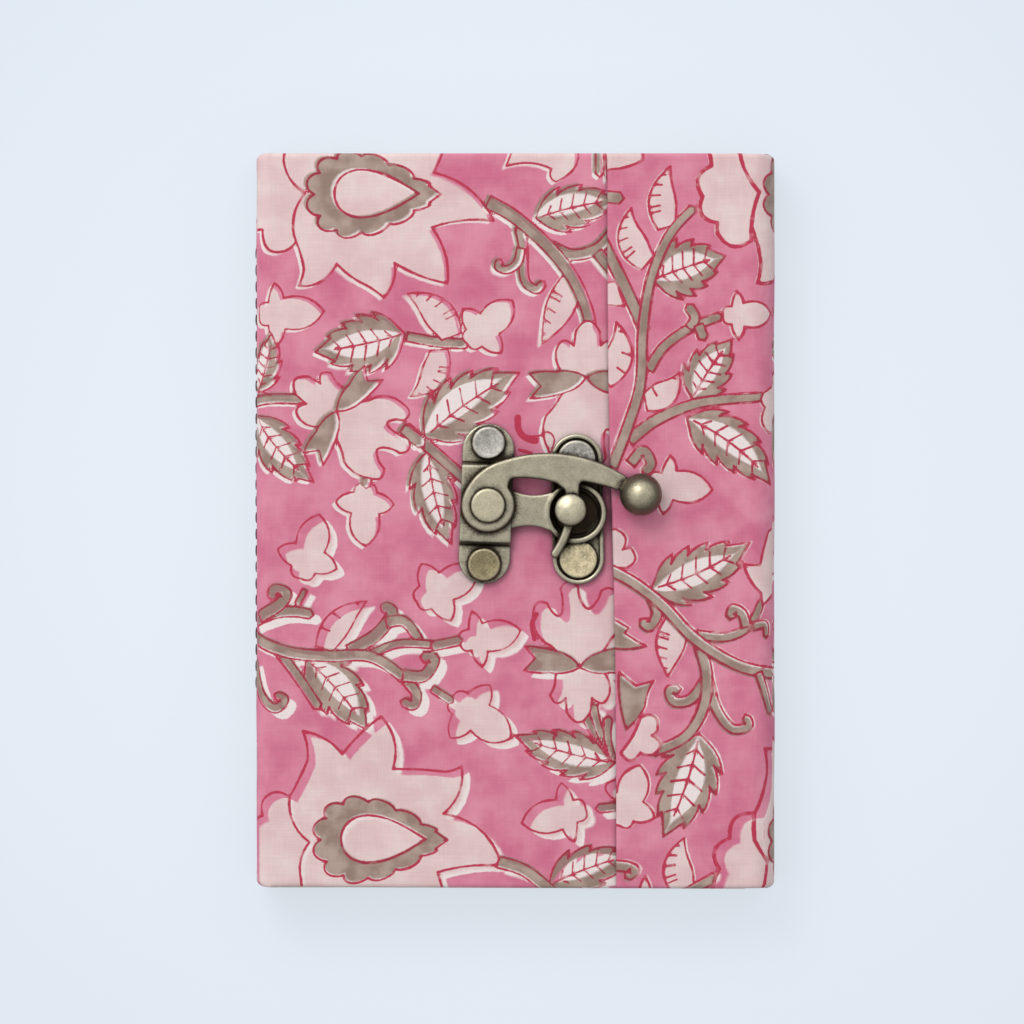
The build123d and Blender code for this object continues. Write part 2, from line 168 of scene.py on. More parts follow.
# Share of a line's cut width that prints, on the front and on the flap, where more ink was taken up.
FRONT_WEIGHT, FLAP_WEIGHT = 0.58, 0.74
# How much wider than its outline a shape is kept clear of the ground, and a stem's share of its drawn width.
RESERVE, STEM_SHARE = 0.05, 0.88
# Cut widths of the red lines: most outlines, a leaf's rib and veins, a blade's hatches, a bud's outline,
# a lotus head's and a flower heart's, and a flower's.
OUTLINE, RIB, VEIN, HATCH, BUD_LINE, HEAD_LINE, FLOWER_LINE = 0.8, 0.76, 0.7, 0.7, 0.85, 1.0, 1.1
# A line isn't drawn further than this from a measured edge, because halfway between two lines the way
# to them means nothing.
LINE_GUARD = 0.18
# The flowers' hearts on the front, repeated on the flap: places, length and height.
UPPER_HEART, LOWER_HEART = (-33.6, 79.0), (-32.0, -77.4)
HEART_SIZE = (33.0, 22.0)


def bow(points, steps=7):
    """A closed line through points (x, y, bulge): each run bows to its right by bulge times its length."""
    line = []
    for start, stop in zip(points, [*points[1:], points[0]]):
        (x0, y0), (x1, y1) = start[:2], stop[:2]
        bulge = start[2] if len(start) > 2 else 0.0
        cx = (x0 + x1) / 2 + (y1 - y0) * bulge * 2
        cy = (y0 + y1) / 2 - (x1 - x0) * bulge * 2
        count = steps if bulge else 1
        for k in range(count):
            t = k / count
            a, b, c = (1 - t) ** 2, 2 * t * (1 - t), t * t
            line.append((a * x0 + b * cx + c * x1, a * y0 + b * cy + c * y1))
    return np.array(line)


def smooth(points, steps=6):
    """A soft line through points, as a Catmull-Rom curve."""
    p = np.array([points[0], *points, points[-1]], float)
    line = []
    for i in range(1, len(p) - 2):
        for k in range(steps):
            t = k / steps
            line.append(
                0.5
                * (
                    2 * p[i]
                    + (p[i + 1] - p[i - 1]) * t
                    + (2 * p[i - 1] - 5 * p[i] + 4 * p[i + 1] - p[i + 2]) * t**2
                    + (3 * p[i] - p[i - 1] - 3 * p[i + 1] + p[i + 2]) * t**3
                )
            )
    line.append(p[-2])
    return np.array(line)


def placed(line, at, turn=0.0, size=1.0, flip=False):
    """A motif's line, flipped, sized, turned by degrees and moved."""
    line = np.array([p[:2] for p in line], float) * size
    if flip:
        line[:, 0] *= -1
    c, s = math.cos(math.radians(turn)), math.sin(math.radians(turn))
    return line @ np.array([[c, s], [-s, c]]) + np.array(at)


class Print:
    """A hand-block print: at each point of the cloth, the distance in millimetres to the edge of each ink.

    For the red lines there is also the way to the nearest one and half its width, which hold between points.
    """

    def __init__(self, x, y):
        self.x, self.y = x, y
        self.ground, self.petal, self.leaf, self.line = (np.full(len(x), FAR) for _ in INKS)
        # How far the block of each ink missed: the ground's, the petals' and the leaves'.
        self.slip, self.weight = ((0, 0), (0, 0), (0, 0)), 1.0
        self.open = np.full(len(x), True)
        self.way = np.full((len(x), 3), FAR)

    def near(self, line, room=5.0):
        """The points, of those open to the block, that a line's distances reach."""
        lo, hi = line.min(axis=0) - room, line.max(axis=0) + room
        across, along = (self.x > lo[0]) & (self.x < hi[0]), (self.y > lo[1]) & (self.y < hi[1])
        return np.nonzero(across & along & self.open)[0]

    def away(self, which, line, closed, slip=(0, 0)):
        """Distance from those points to a line, negative inside a closed one, and the way to it."""
        x, y = self.x[which] - slip[0], self.y[which] - slip[1]
        best, inside = np.full(len(which), FAR**2), np.zeros(len(which), bool)
        way = np.full((2, len(which)), FAR)
        ends = np.roll(line, -1, axis=0) if closed else line[1:]
        for (ax, ay), (bx, by) in zip(line, ends):
            dx, dy = bx - ax, by - ay
            t = np.clip(((x - ax) * dx + (y - ay) * dy) / (dx * dx + dy * dy + 1e-9), 0, 1)
            run = np.stack([ax + t * dx - x, ay + t * dy - y])
            gap = (run**2).sum(axis=0)
            way = np.where(gap < best, run, way)
            best = np.minimum(best, gap)
            if closed and ay != by:
                inside ^= ((ay > y) != (by > y)) & (x < dx * (y - ay) / dy + ax)
        best = np.sqrt(best)
        return np.where(inside, -best, best), way

    def draw(self, which, edge, way, width, covered):
        """A red line where it is the nearest, or where a new shape covers the older ones."""
        half = width * self.weight / 2
        gap = np.abs(edge) - half
        laid = covered | (gap < self.line[which])
        at = which[laid]
        self.line[at] = gap[laid]
        self.way[at, :2] = way[:, laid].T
        self.way[at, 2] = half

    def stroke(self, line, width=OUTLINE, closed=False):
        """A carved outline in red."""
        which = self.near(line)
        edge, way = self.away(which, line, closed)
        self.draw(which, edge, way, width, np.zeros(len(which), bool))

    def patch(self, outline, ink, hole=None, width=OUTLINE):
        """A closed shape: reserved from the ground, filled with one ink and outlined in red."""
        which = self.near(outline)
        edge, way = self.away(which, outline, True)
        for covered in (self.petal, self.leaf):
            covered[which] = np.maximum(covered[which], -edge)
        reserve, _ = self.away(which, outline, True, self.slip[0])
        self.ground[which] = np.minimum(self.ground[which], reserve - RESERVE)
        slip = self.slip[1] if ink is self.petal else self.slip[2]
        fill, _ = self.away(which, outline, True, slip)
        if hole is not None:
            fill = np.maximum(fill, -self.away(which, hole, True, slip)[0])
        ink[which] = np.minimum(ink[which], fill)
        self.draw(which, edge, way, width, edge < 0)


def spine_of(base, tip, sag, t):
    """Points and left-hand normals along a leaf's middle line, at shares of its length."""
    base, tip = np.array(base, float), np.array(tip, float)
    way = tip - base
    side = np.array([-way[1], way[0]])
    t = np.asarray(t, float)[:, None]
    points = base + way * t + side * sag * 4 * t * (1 - t)
    run = way + side * sag * 4 * (1 - 2 * t)
    run /= np.linalg.norm(run, axis=1)[:, None]
    return points, np.stack([-run[:, 1], run[:, 0]], axis=1)


def saw_leaf(cloth, base, tip, width, sag=0.08, teeth=4):
    """A saw-edged leaf: taupe with a bare middle, a rib and veins."""
    # Shares of the leaf's length: to its drawn tip, to its first and last notch, and a tooth's lean.
    past, first, last, lean = 1.08, 0.06, 0.8, 0.05
    # Shares of its half width at a notch and at a tooth, and how much a tooth's back bows.
    notch, tooth, back = 0.84, 1.2, -0.1
    tip = np.array(base) + (np.array(tip, float) - base) * past
    notches = np.linspace(first, last, teeth + 1)
    rim = []
    for hand in (1, -1):
        sides = []
        for shares, reach in ((notches, notch), (notches[1:] + lean, tooth)):
            middle, side = spine_of(base, tip, sag, shares)
            swell = width / 2 * np.sin(np.pi * shares**0.75) ** 0.8 * reach * hand
            sides.append(middle + side * swell[:, None])
        rim.append([*(p for pair in zip(*sides) for p in pair), sides[0][-1]])
    left = [(*p, back if i % 2 == 0 and i < 2 * teeth else 0) for i, p in enumerate(rim[0])]
    right = [(*p, back if i % 2 == 1 else 0) for i, p in enumerate(rim[1])]
    outline = bow([(*base, 0), *left, (*tip, 0), *right[::-1]], steps=4)
    # The bare middle starts and stops at these shares, and is wider on the left of the rib.
    bare_from, bare_long, bare_left, bare_right = 0.04, 0.78, 1.15, 0.75
    u = np.linspace(0, 1, 15)
    core, across = spine_of(base, tip, sag, u)
    room = width * 0.27 * np.sin(np.pi * np.clip((u - bare_from) / bare_long, 0, 1)) ** 0.8
    reach = across * room[:, None]
    hole = np.concatenate([core + reach * bare_left, (core - reach * bare_right)[::-1]])
    cloth.patch(outline, cloth.leaf, hole)
    cloth.stroke(core[1:-3], RIB)
    for i in range(2, 11, 2):
        ahead = (core[i + 1] - core[i]) * 0.9
        for hand in (1.0, -0.9):
            cloth.stroke(np.array([core[i], core[i] + ahead + across[i] * hand * (room[i] + 0.5)]), VEIN)


def blade(cloth, base, tip, width, sag=0.1, hand=1, hatches=5):
    """A smooth leaf in the petal ink, hatched along one edge."""
    t = np.linspace(0, 1, 13)
    middle, side = spine_of(base, tip, sag, t)
    swell = (width / 2 * (0.72 + 0.5 * np.sin(np.pi * t)) * (1 - t**2.2) ** 0.8)[:, None]
    left, right = middle + side * swell, middle - side * swell
    cloth.patch(np.concatenate([left, right[-2::-1]]), cloth.petal)
    edge = left if hand > 0 else right
    first, span, last = 3, 7, 11
    for i in range(hatches):
        k = min(first + i * span // max(hatches - 1, 1), last)
        inward, ahead = (middle[k] - edge[k]) * 0.8, (middle[k] - middle[k - 1]) * 0.25
        cloth.stroke(np.array([edge[k], edge[k] + inward + ahead]), HATCH)


def stem(cloth, points, width, thin=None):
    """A taupe stem with a red line down each side."""
    line = smooth(points)
    run = np.gradient(line, axis=0)
    run /= np.linalg.norm(run, axis=1)[:, None] + 1e-9
    side = np.stack([-run[:, 1], run[:, 0]], axis=1)
    half = np.linspace(width, thin or width, len(line))[:, None] * STEM_SHARE / 2
    cap = line[-1] + run[-1] * half[-1] * 0.8
    cloth.patch(np.concatenate([line + side * half, [cap], (line - side * half)[::-1]]), cloth.leaf)


# Outlines of the small motifs, for bow.
BIRD_BUD = [
    (-5.2, 0, -0.35), (-2.4, 2.9, -0.05), (-0.8, 7.6, -0.12), (1.3, 3.9, -0.17),
    (11.0, 0.4, -0.18), (1.4, -3.5, -0.1), (-0.6, -7.4, -0.1), (-2.6, -2.6, -0.3),
]
STAR_BUD = [
    (-5.2, 0, -0.3), (-2.7, 3.3, -0.12), (0.4, 8.2, -0.12), (3.2, 4.0, -0.18),
    (12.4, 0.6, -0.2), (3.2, -3.7, -0.12), (0.2, -8.2, -0.12), (-2.7, -3.1, -0.3),
]
BELL = [
    (0, 0, -0.05), (-6.5, 4.8, -0.18), (-10.6, 12.6, -0.35), (-7.4, 14.6, 0.08), (-5.6, 12.0, 0.4),
    (-4.0, 12.6, 0.05), (-4.4, 18, -0.35), (-0.4, 18.4, 0.08), (0.8, 14.2, 0.35), (3.2, 14.2, 0.08),
    (4.8, 17.4, -0.35), (8.6, 16, -0.12), (9.0, 8.5, 0.04), (6.0, 4.6, -0.08),
]
SEPAL = [
    (0, 0, 0.1), (-4.6, 3.4, 0.04), (-12.6, 4.8, 0), (-10.2, 2.0, 0), (-12.8, -0.8, 0.05), (-7, -1.2, 0.1),
]
TREFOIL = [
    (0, 0, 0.05), (-5.6, -1.6, -0.1), (-6.8, -6.4, 0.42), (-3.2, -7.0, 0), (-3.0, -10.2, 0.45),
    (2.4, -10.2, 0), (2.8, -7.0, 0.42), (6.8, -6.0, 0.1), (5.8, -1.6, 0.05),
]


def bud(cloth, at, turn, size=1.0, shape=BIRD_BUD):
    """A pointed bud in the petal ink."""
    cloth.patch(placed(bow(shape), at, turn, size), cloth.petal, width=BUD_LINE)


def lotus(cloth, at, turn, size=1.0):
    """A lotus head: a bell of petals, two taupe sepals and three round lobes."""
    for shape in (TREFOIL, BELL):
        cloth.patch(placed(bow(shape), at, turn, size), cloth.petal, width=HEAD_LINE)
    for flip in (False, True):
        cloth.patch(placed(bow(SEPAL), at, turn, size, flip), cloth.leaf)


def scalloped(cloth, at, length, height, lobes=14):
    """The flower's heart: a scalloped taupe drop round a pale one."""
    a = np.linspace(0, 2 * np.pi, lobes * 8, endpoint=False)
    drop = np.stack([np.cos(a) * length / 2, np.sin(a) * np.sin(a / 2) ** 1.1 * height * 0.62], axis=1)
    wave = 0.9 + 0.13 * np.abs(np.sin(a * lobes / 2)) ** 0.7 * (np.cos(a) < 0.8) + 0.06 * (np.cos(a) > 0.8)
    outer = drop * wave[:, None] + np.array(at)
    inner = drop * np.array([0.62, 0.56]) + np.array([0.3, 0.2]) + np.array(at)
    cloth.patch(outer, cloth.leaf, inner, width=HEAD_LINE)
    which = cloth.near(inner)
    fill, _ = cloth.away(which, inner, True, cloth.slip[1])
    cloth.petal[which] = np.minimum(cloth.petal[which], fill)
    cloth.stroke(inner, FLOWER_LINE, closed=True)


def flower(cloth, outline, width=FLOWER_LINE):
    """A large petal shape."""
    cloth.patch(bow(outline), cloth.petal, width=width)


def upper_front(c):
    """The upper half of the front: a large flower, leaves, buds and a lotus, from left to right."""
    c.slip, c.weight = ((-0.9, -0.7), (-0.4, -0.5), (-0.8, 0.4)), FRONT_WEIGHT
    flower(c, [
        (-64, 94), (-64, 70.5), (-61, 70.5, 0.05), (-60.6, 67.5, 0.2), (-57, 65, 0.12), (-53, 67.3),
        (-50, 80), (-55, 94),
    ])
    flower(c, [
        (-55.4, 94), (-55.8, 87, 0.12), (-50.6, 79.3, 0.12), (-53.3, 69, -0.03), (-50.9, 61, -0.05),
        (-52.2, 56.9, 0.1), (-46, 58.4, 0.05), (-43, 62.2, 0.04), (-37, 57.6, -0.04), (-31.6, 54, 0.12),
        (-29, 62.4, 0.05), (-16.2, 57.5, 0.1), (-20, 71, -0.06), (-5, 72.6, 0.12), (-19.5, 84.3, 0.05),
        (-16.4, 94),
    ])
    scalloped(c, UPPER_HEART, *HEART_SIZE)
    saw_leaf(c, (-26.5, 45.3), (-46.6, 41.2), 12.5, 0.02, 4)
    stem(c, [(-26, 44.6), (-18, 43.2), (-11.8, 42.8)], 2.6)
    blade(c, (-15.2, 44.6), (-26, 55), 7, -0.12, -1)
    blade(c, (-18.2, 41.4), (-25.2, 30.2), 6, 0.16, 1)
    bud(c, (-8, 45.8), 42, 0.86, shape=STAR_BUD)
    bud(c, (-57, 50), 2, 1.0)
    saw_leaf(c, (-62.5, 31), (-59, 44.4), 6.5, -0.05, 3)
    stem(c, [(-64, 28.8), (-58, 29.6), (-51, 29.4)], 2.6)
    saw_leaf(c, (-63, 25.5), (-49.6, 10.6), 9.5, -0.05, 3)
    bud(c, (-36.2, 4.6), -92, 0.86, shape=STAR_BUD)
    stem(c, [(-35.4, 12), (-35.8, 8.6)], 2.2)
    saw_leaf(c, (-21.6, 20.2), (-0.4, 34.8), 12.5, 0.04, 4)
    saw_leaf(c, (-20.8, 17), (-15.6, -4), 9.5, -0.05, 3)
    stem(c, [(-26.2, 22.6), (-18, 15.6), (-10, 8.4)], 3.0)
    lotus(c, (-43, 26.6), -125)
    stem(c, [(-27, 22.6), (-22.5, 18.8)], 3.0)
    stem(c, [(1.2, 71), (2.2, 66), (2.2, 60.5), (3, 57.4), (5.4, 56), (6.8, 57.4)], 2.6, 2.2)
    stem(c, [(1.6, 66), (0.8, 62.6), (-1.6, 60.8), (-3.8, 61.4), (-3.6, 62.8)], 2.4, 2.0)
    blade(c, (13.8, 58.5), (6.6, 42.8), 6.5, 0.02, -1)
    saw_leaf(c, (5.2, 73.2), (24, 77.4), 9.5, 0.03, 3)
    stem(c, [(9, 66.6), (14, 64.4), (20, 65.8), (24, 70)], 3.0)
    stem(c, [(20, 65), (25, 59)], 3.0)
    stem(c, [(-6.4, 77.2), (0, 73.6), (8, 66.6), (14, 59), (17.6, 51), (18.8, 44)], 3.6, 3.0)
    flower(c, [(-2, 85.8, -0.1), (9, 85.2, 0.25), (10, 82, 0.3), (13.4, 94), (1, 94)], 0.9)
    stem(c, [(20.6, 94), (20.6, 84)], 2.2)
    flower(c, [(21.8, 94), (22.4, 82, 0.1), (27, 94)], 0.9)
    lotus(c, (17.4, 34.8), 180, 1.08)
    c.stroke(smooth([(0.8, 25), (0.9, 22.6), (1.8, 20.8), (3.4, 19.8), (5, 19.4)]), 2.8)
    c.stroke(smooth([(1.2, 17.2), (4, 16.4)]), 1.6)
    c.stroke(smooth([(3.4, 20.6), (6, 20.6), (8, 21.6), (9.6, 20), (9, 17)]), 0.8)


def lower_front(c):
    """The lower half of the front, whose ground block missed the outlines by more."""
    c.slip, c.weight = ((1.9, -1.5), (0.9, -0.9), (0.2, 0.4)), FRONT_WEIGHT
    flower(c, [
        (-54.4, -67, 0.25), (-61, -68, 0.1), (-61, -71.6, 0.05), (-64, -73), (-64, -94), (-50, -94),
        (-49.6, -78),
    ])
    flower(c, [
        (-51, -94), (-51.6, -87, -0.12), (-49.6, -78, -0.14), (-54.4, -67, 0.02), (-50, -58, 0.06),
        (-51.2, -51, -0.1), (-41.6, -56.6, -0.04), (-32.2, -47.4, -0.14), (-29.4, -60.2, -0.02),
        (-17, -60.8, 0.08), (-12.8, -59.4, -0.14), (-17.2, -71, -0.16), (-3, -83.6, 0.05), (-18.6, -85.2, 0),
        (-16, -94),
    ])
    scalloped(c, LOWER_HEART, *HEART_SIZE)
    bud(c, (-50.2, -9.4), 72, 0.92, shape=STAR_BUD)
    stem(c, [(-50.6, -16.6), (-52.4, -20)], 1.6)
    stem(c, [(-64, -24.6), (-58, -22.4), (-53.4, -22), (-49.4, -22.6)], 3.2, 2.6)
    stem(c, [(-62, -23.4), (-57, -20.4), (-55.2, -17.6), (-58, -16.6), (-58.6, -18.4)], 3.4, 2.6)
    blade(c, (-46, -31), (-35.6, -19.4), 6, 0.1, 1, 3)
    saw_leaf(c, (-50.4, -33.6), (-36.8, -49.4), 11, 0.04, 3)
    stem(c, [(-58, -30.6), (-53, -37), (-47.6, -45)], 2.6)
    stem(c, [(-40, -31.6), (-33.4, -27.6), (-29.6, -22.4), (-31.6, -20.8)], 3.6, 3.0)
    stem(c, [(-31, -24.6), (-26.6, -24.4), (-23, -29)], 3.2, 2.4)
    stem(c, [(-35, -32.4), (-28, -29.8), (-19.6, -30)], 2.2)
    stem(c, [
        (-64, -28.2), (-55, -31.8), (-45, -32.8), (-35.4, -32.8), (-28.6, -36.6), (-24, -41.4),
        (-24.4, -44.6), (-26.8, -44),
    ], 3.2, 2.6)
    stem(c, [(-27, -37.4), (-22, -37.6), (-19.4, -33.6), (-22, -33)], 3.4, 2.6)
    stem(c, [(-64, -34), (-61.6, -42), (-58, -45.6), (-55.6, -43.4), (-57.4, -42.4)], 2.6, 2.2)
    bud(c, (-19.2, -17.4), 28, 0.95, shape=STAR_BUD)
    bud(c, (-8.4, -28.6), 10, 0.92)
    stem(c, [(-20, -30.4), (-13.4, -29)], 2.6)
    bud(c, (-11, -46), -36, 0.98, shape=STAR_BUD)
    stem(c, [(-20, -40.6), (-15.4, -43.6)], 2.2)
    saw_leaf(c, (24.4, -58.6), (1.8, -52.4), 9.6, 0.03, 4)
    root = (24.2, -58.2)
    for tip in ((15.8, -44.6), (19, -45), (22.6, -48)):
        stem(c, [root, ((root[0] + tip[0]) / 2 - 0.8, (tip[1] + root[1]) / 2), tip], 1.2, 2.4)
    lotus(c, (15.8, -35.4), 0, 1.06)
    c.stroke(smooth([(5.4, -22.6), (4.2, -25), (4.8, -28.6)]), 1.8)
    bud(c, (12.2, -70.6), 192, 0.98)
    stem(c, [(25, -69.2), (20.4, -69.6)], 2.4)
    flower(c, [(25, -62.4), (22.4, -63.4, 0.2), (22.6, -66, 0.1), (25, -67.6)], 0.8)
    saw_leaf(c, (8.4, -88.2), (27, -81.4), 9.6, 0.03, 3)
    stem(c, [(-4, -82.6), (2.6, -84.8), (9, -90)], 3.2)


def upper_flap(c):
    """The upper half of the flap: a tall branch with leaves and a bud."""
    c.slip, c.weight = ((-0.5, -0.1), (-0.2, -0.1), (0.1, -0.1)), FLAP_WEIGHT
    flower(c, [
        (54, 94), (54.6, 86, 0.12), (59.2, 79.4, 0.12), (56.8, 72, -0.04), (59.6, 62, -0.04),
        (58.6, 57.6, 0.15), (66, 60), (66, 94),
    ], 1.3)
    flower(c, [
        (46.4, 94), (47.6, 85.8, 0.3), (45.4, 78.4, 0.32), (49, 72, 0.04), (49, 69.4, 0.28),
        (57.2, 67.8, -0.06), (59.2, 79.4, -0.12), (54.4, 94),
    ], 1.4)
    scalloped(c, (REPEAT_X + UPPER_HEART[0], UPPER_HEART[1]), *HEART_SIZE)
    flower(c, [(21, 94), (21, 84.6), (24, 85, 0.06), (31, 87.2, 0.05), (30, 94)], 0.9)
    stem(c, [(21, 78.4), (25.4, 78)], 3.2)
    flower(c, [(20, 57), (20, 52.4), (26.6, 51.8), (24.6, 58)], 0.8)
    blade(c, (32.2, 62.4), (28.2, 75.6), 6.4, 0.16, 1)
    blade(c, (36.8, 71), (37.6, 85.6), 6.2, 0.1, 1)
    blade(c, (21.6, 34), (24.6, 48), 6.4, -0.16, -1, 3)
    blade(c, (31.6, 28.8), (39.8, 35.8), 6, -0.14, 1, 2)
    saw_leaf(c, (33.2, 58.2), (49.6, 63.6), 12.5, 0.02, 4)
    saw_leaf(c, (43, 29.6), (51.8, 42.8), 10, 0.03, 3)
    saw_leaf(c, (41.6, 25), (61, 10), 10.5, 0.06, 4)
    stem(c, [(32.4, 36.4), (36, 42), (42.4, 46.6), (49.4, 49.4)], 2.8, 2.4)
    stem(c, [(42, 46.6), (43.6, 49), (42.2, 51.6)], 2.4, 2.8)
    stem(c, [(44.4, 47.4), (45.6, 44.4)], 2.6, 2.8)
    stem(c, [(31.4, 46), (27.4, 55), (21, 68)], 3.2)
    stem(c, [(27.6, 19.4), (34.6, 24.6), (45, 28.6), (60, 30)], 3.4, 2.4)
    stem(c, [(23.6, 13), (27.2, 22.4), (30.4, 33), (31, 46), (33, 58.6), (37.4, 69), (43, 75.4)], 3.0, 2.4)
    bud(c, (54.4, 49.6), 2, 0.78)
    flower(c, [(66, 34), (60.4, 31, 0.25), (60.8, 27.4, 0.25), (62, 21.4), (66, 21.4)], 0.9)
    stem(c, [(28, 13.8), (31, 17), (33, 14), (31.6, 12)], 3.0, 2.6)
    bud(c, (37.4, 8.6), -8, 0.95)


def lower_flap(c):
    """The lower half of the flap: a curling branch and the edge of a large flower."""
    c.slip, c.weight = ((0.5, 0.15), (0.3, 0.1), (-0.3, -0.5)), FLAP_WEIGHT
    flower(c, [
        (21, -2), (24.6, -2, -0.3), (26, -7, -0.02), (28, -6.4, -0.35), (26.8, -11.4, 0), (21, -11),
    ], 0.8)
    saw_leaf(c, (33, -16.4), (55, -6), 11.5, -0.05, 4)
    blade(c, (39, -24), (37, -37.6), 6.6, -0.04, -1)
    stem(c, [(33, -18.4), (34.4, -22.4), (32.6, -25.4), (31, -24.4)], 2.8, 2.8)
    stem(c, [(44, -27.4), (51, -28), (56.6, -25.4), (59.8, -19.4)], 2.6, 2.0)
    stem(c, [(56, -25.6), (55, -22.4), (52.8, -21.2), (52.2, -23)], 2.6, 2.6)
    stem(c, [(57.6, -25.4), (60.8, -25), (61.2, -27.6)], 2.4, 1.8)
    stem(c, [(46.4, -37), (48.6, -45), (52.4, -50), (56.4, -49.6), (56, -47.4)], 2.8, 2.2)
    stem(c, [(46, -38.6), (42.6, -43), (38.6, -43.6), (37.4, -41), (39.4, -40.6)], 3.0, 2.4)
    saw_leaf(c, (44.6, -51.4), (36.6, -74.4), 13, 0.04, 4)
    stem(c, [(44.6, -30), (46.4, -37), (45.6, -45), (41.4, -52), (33.6, -55.8)], 3.2, 2.6)
    stem(c, [
        (20, -10.4), (28, -14.4), (35.4, -20), (42.6, -27.6), (50, -32.8), (57, -35.8), (66, -37),
    ], 3.0, 3.0)
    stem(c, [(59, -36.6), (62.4, -46)], 2.2)
    flower(c, [
        (66, -1), (62, -2.4, 0.03), (59.4, -10.6), (55.4, -10.6, 0.08), (59.6, -17.4), (60, -20.4), (66, -16),
    ], 0.9)
    c.patch(bow([(21, -22), (27.6, -25.8), (26.6, -27, 0.02), (31.8, -30.2, -0.08), (21, -30)]), c.leaf)
    c.patch(bow([
        (25.2, -36.4), (29.4, -39.8), (33.6, -38.6, 0.06), (31.4, -45, -0.05), (27, -50.4, -0.05),
    ]), c.leaf)
    flower(c, [
        (25.6, -56, 0.06), (30.4, -47.4, -0.42), (34.6, -50.4, -0.1), (33.2, -51.8, -0.4),
        (33.6, -56.4, -0.1), (30.4, -56, -0.4),
    ], 1.0)
    bud(c, (27, -69.4), 70, 0.88, shape=STAR_BUD)
    stem(c, [(21, -83.4), (26.4, -83.4), (29, -84.4), (27.4, -85.8)], 3.0, 2.6)
    blade(c, (41.4, -90), (41, -76.6), 6.6, 0.14, 1)
    stem(c, [(40.6, -90.4), (48.4, -86)], 2.6)
    blade(c, (31.6, -91), (31.6, -85.8), 2.4, 0.02, 1, 0)
    # The reserve of the last flower missed its outline by more than the rest.
    c.slip = ((2.6, -1.2), (2.4, -1.1), (-0.3, -0.5))
    flower(c, [(58, -70.6, 0.04), (61.4, -61, 0.06), (60.6, -55), (66, -55), (66, -94), (58, -94)], 1.2)
    flower(c, [
        (58, -70.6, 0.3), (52, -76.6, 0.32), (49.4, -84, 0.1), (48.2, -94), (59.6, -94), (61.6, -82.4, -0.03),
        (58, -77, -0.06),
    ], 1.3)
    scalloped(c, (REPEAT_X + LOWER_HEART[0], LOWER_HEART[1]), *HEART_SIZE)


def linear(colour):
    """A linear colour from an sRGB hex value."""
    parts = [int(colour[i : i + 2], 16) / 255 for i in (1, 3, 5)]
    return [c / 12.92 if c <= 0.04045 else ((c + 0.055) / 1.055) ** 2.4 for c in parts]


# Names of the nodes used most, the setting of a soft step, and the setting and output of a mix of colours.
MATH, RANGE, MIX, NOISE = "ShaderNodeMath", "ShaderNodeMapRange", "ShaderNodeMix", "ShaderNodeTexNoise"
SOFT = {"interpolation_type": "SMOOTHSTEP"}
COLOURS = {"data_type": "RGBA", "out": 2}
# A wave texture turns by this many radians for each unit of its scale.
WAVE_TURN = 20


def set_inputs(tree, made, inputs):
    """Sets or links a node's inputs, in order or by key."""
    for key, value in inputs.items() if isinstance(inputs, dict) else enumerate(inputs):
        socket = made.inputs[key]
        if isinstance(value, bpy.types.NodeSocket):
            tree.links.new(value, socket)
        else:
            socket.default_value = (*value[:3], 1.0) if socket.type == "RGBA" else value


def add(tree, kind, inputs=(), out=0, **settings):
    """Adds a node with its settings, its inputs set or linked, and gives one of its outputs."""
    made = tree.nodes.new(kind)
    for name, value in settings.items():
        setattr(made, name, value)
    set_inputs(tree, made, inputs)
    return made.outputs[out] if len(made.outputs) else None


def material(name):
    """A new node material: its tree and its surface shader."""
    made = bpy.data.materials.new(name)
    made.use_nodes = True
    return made, made.node_tree, made.node_tree.nodes["Principled BSDF"]


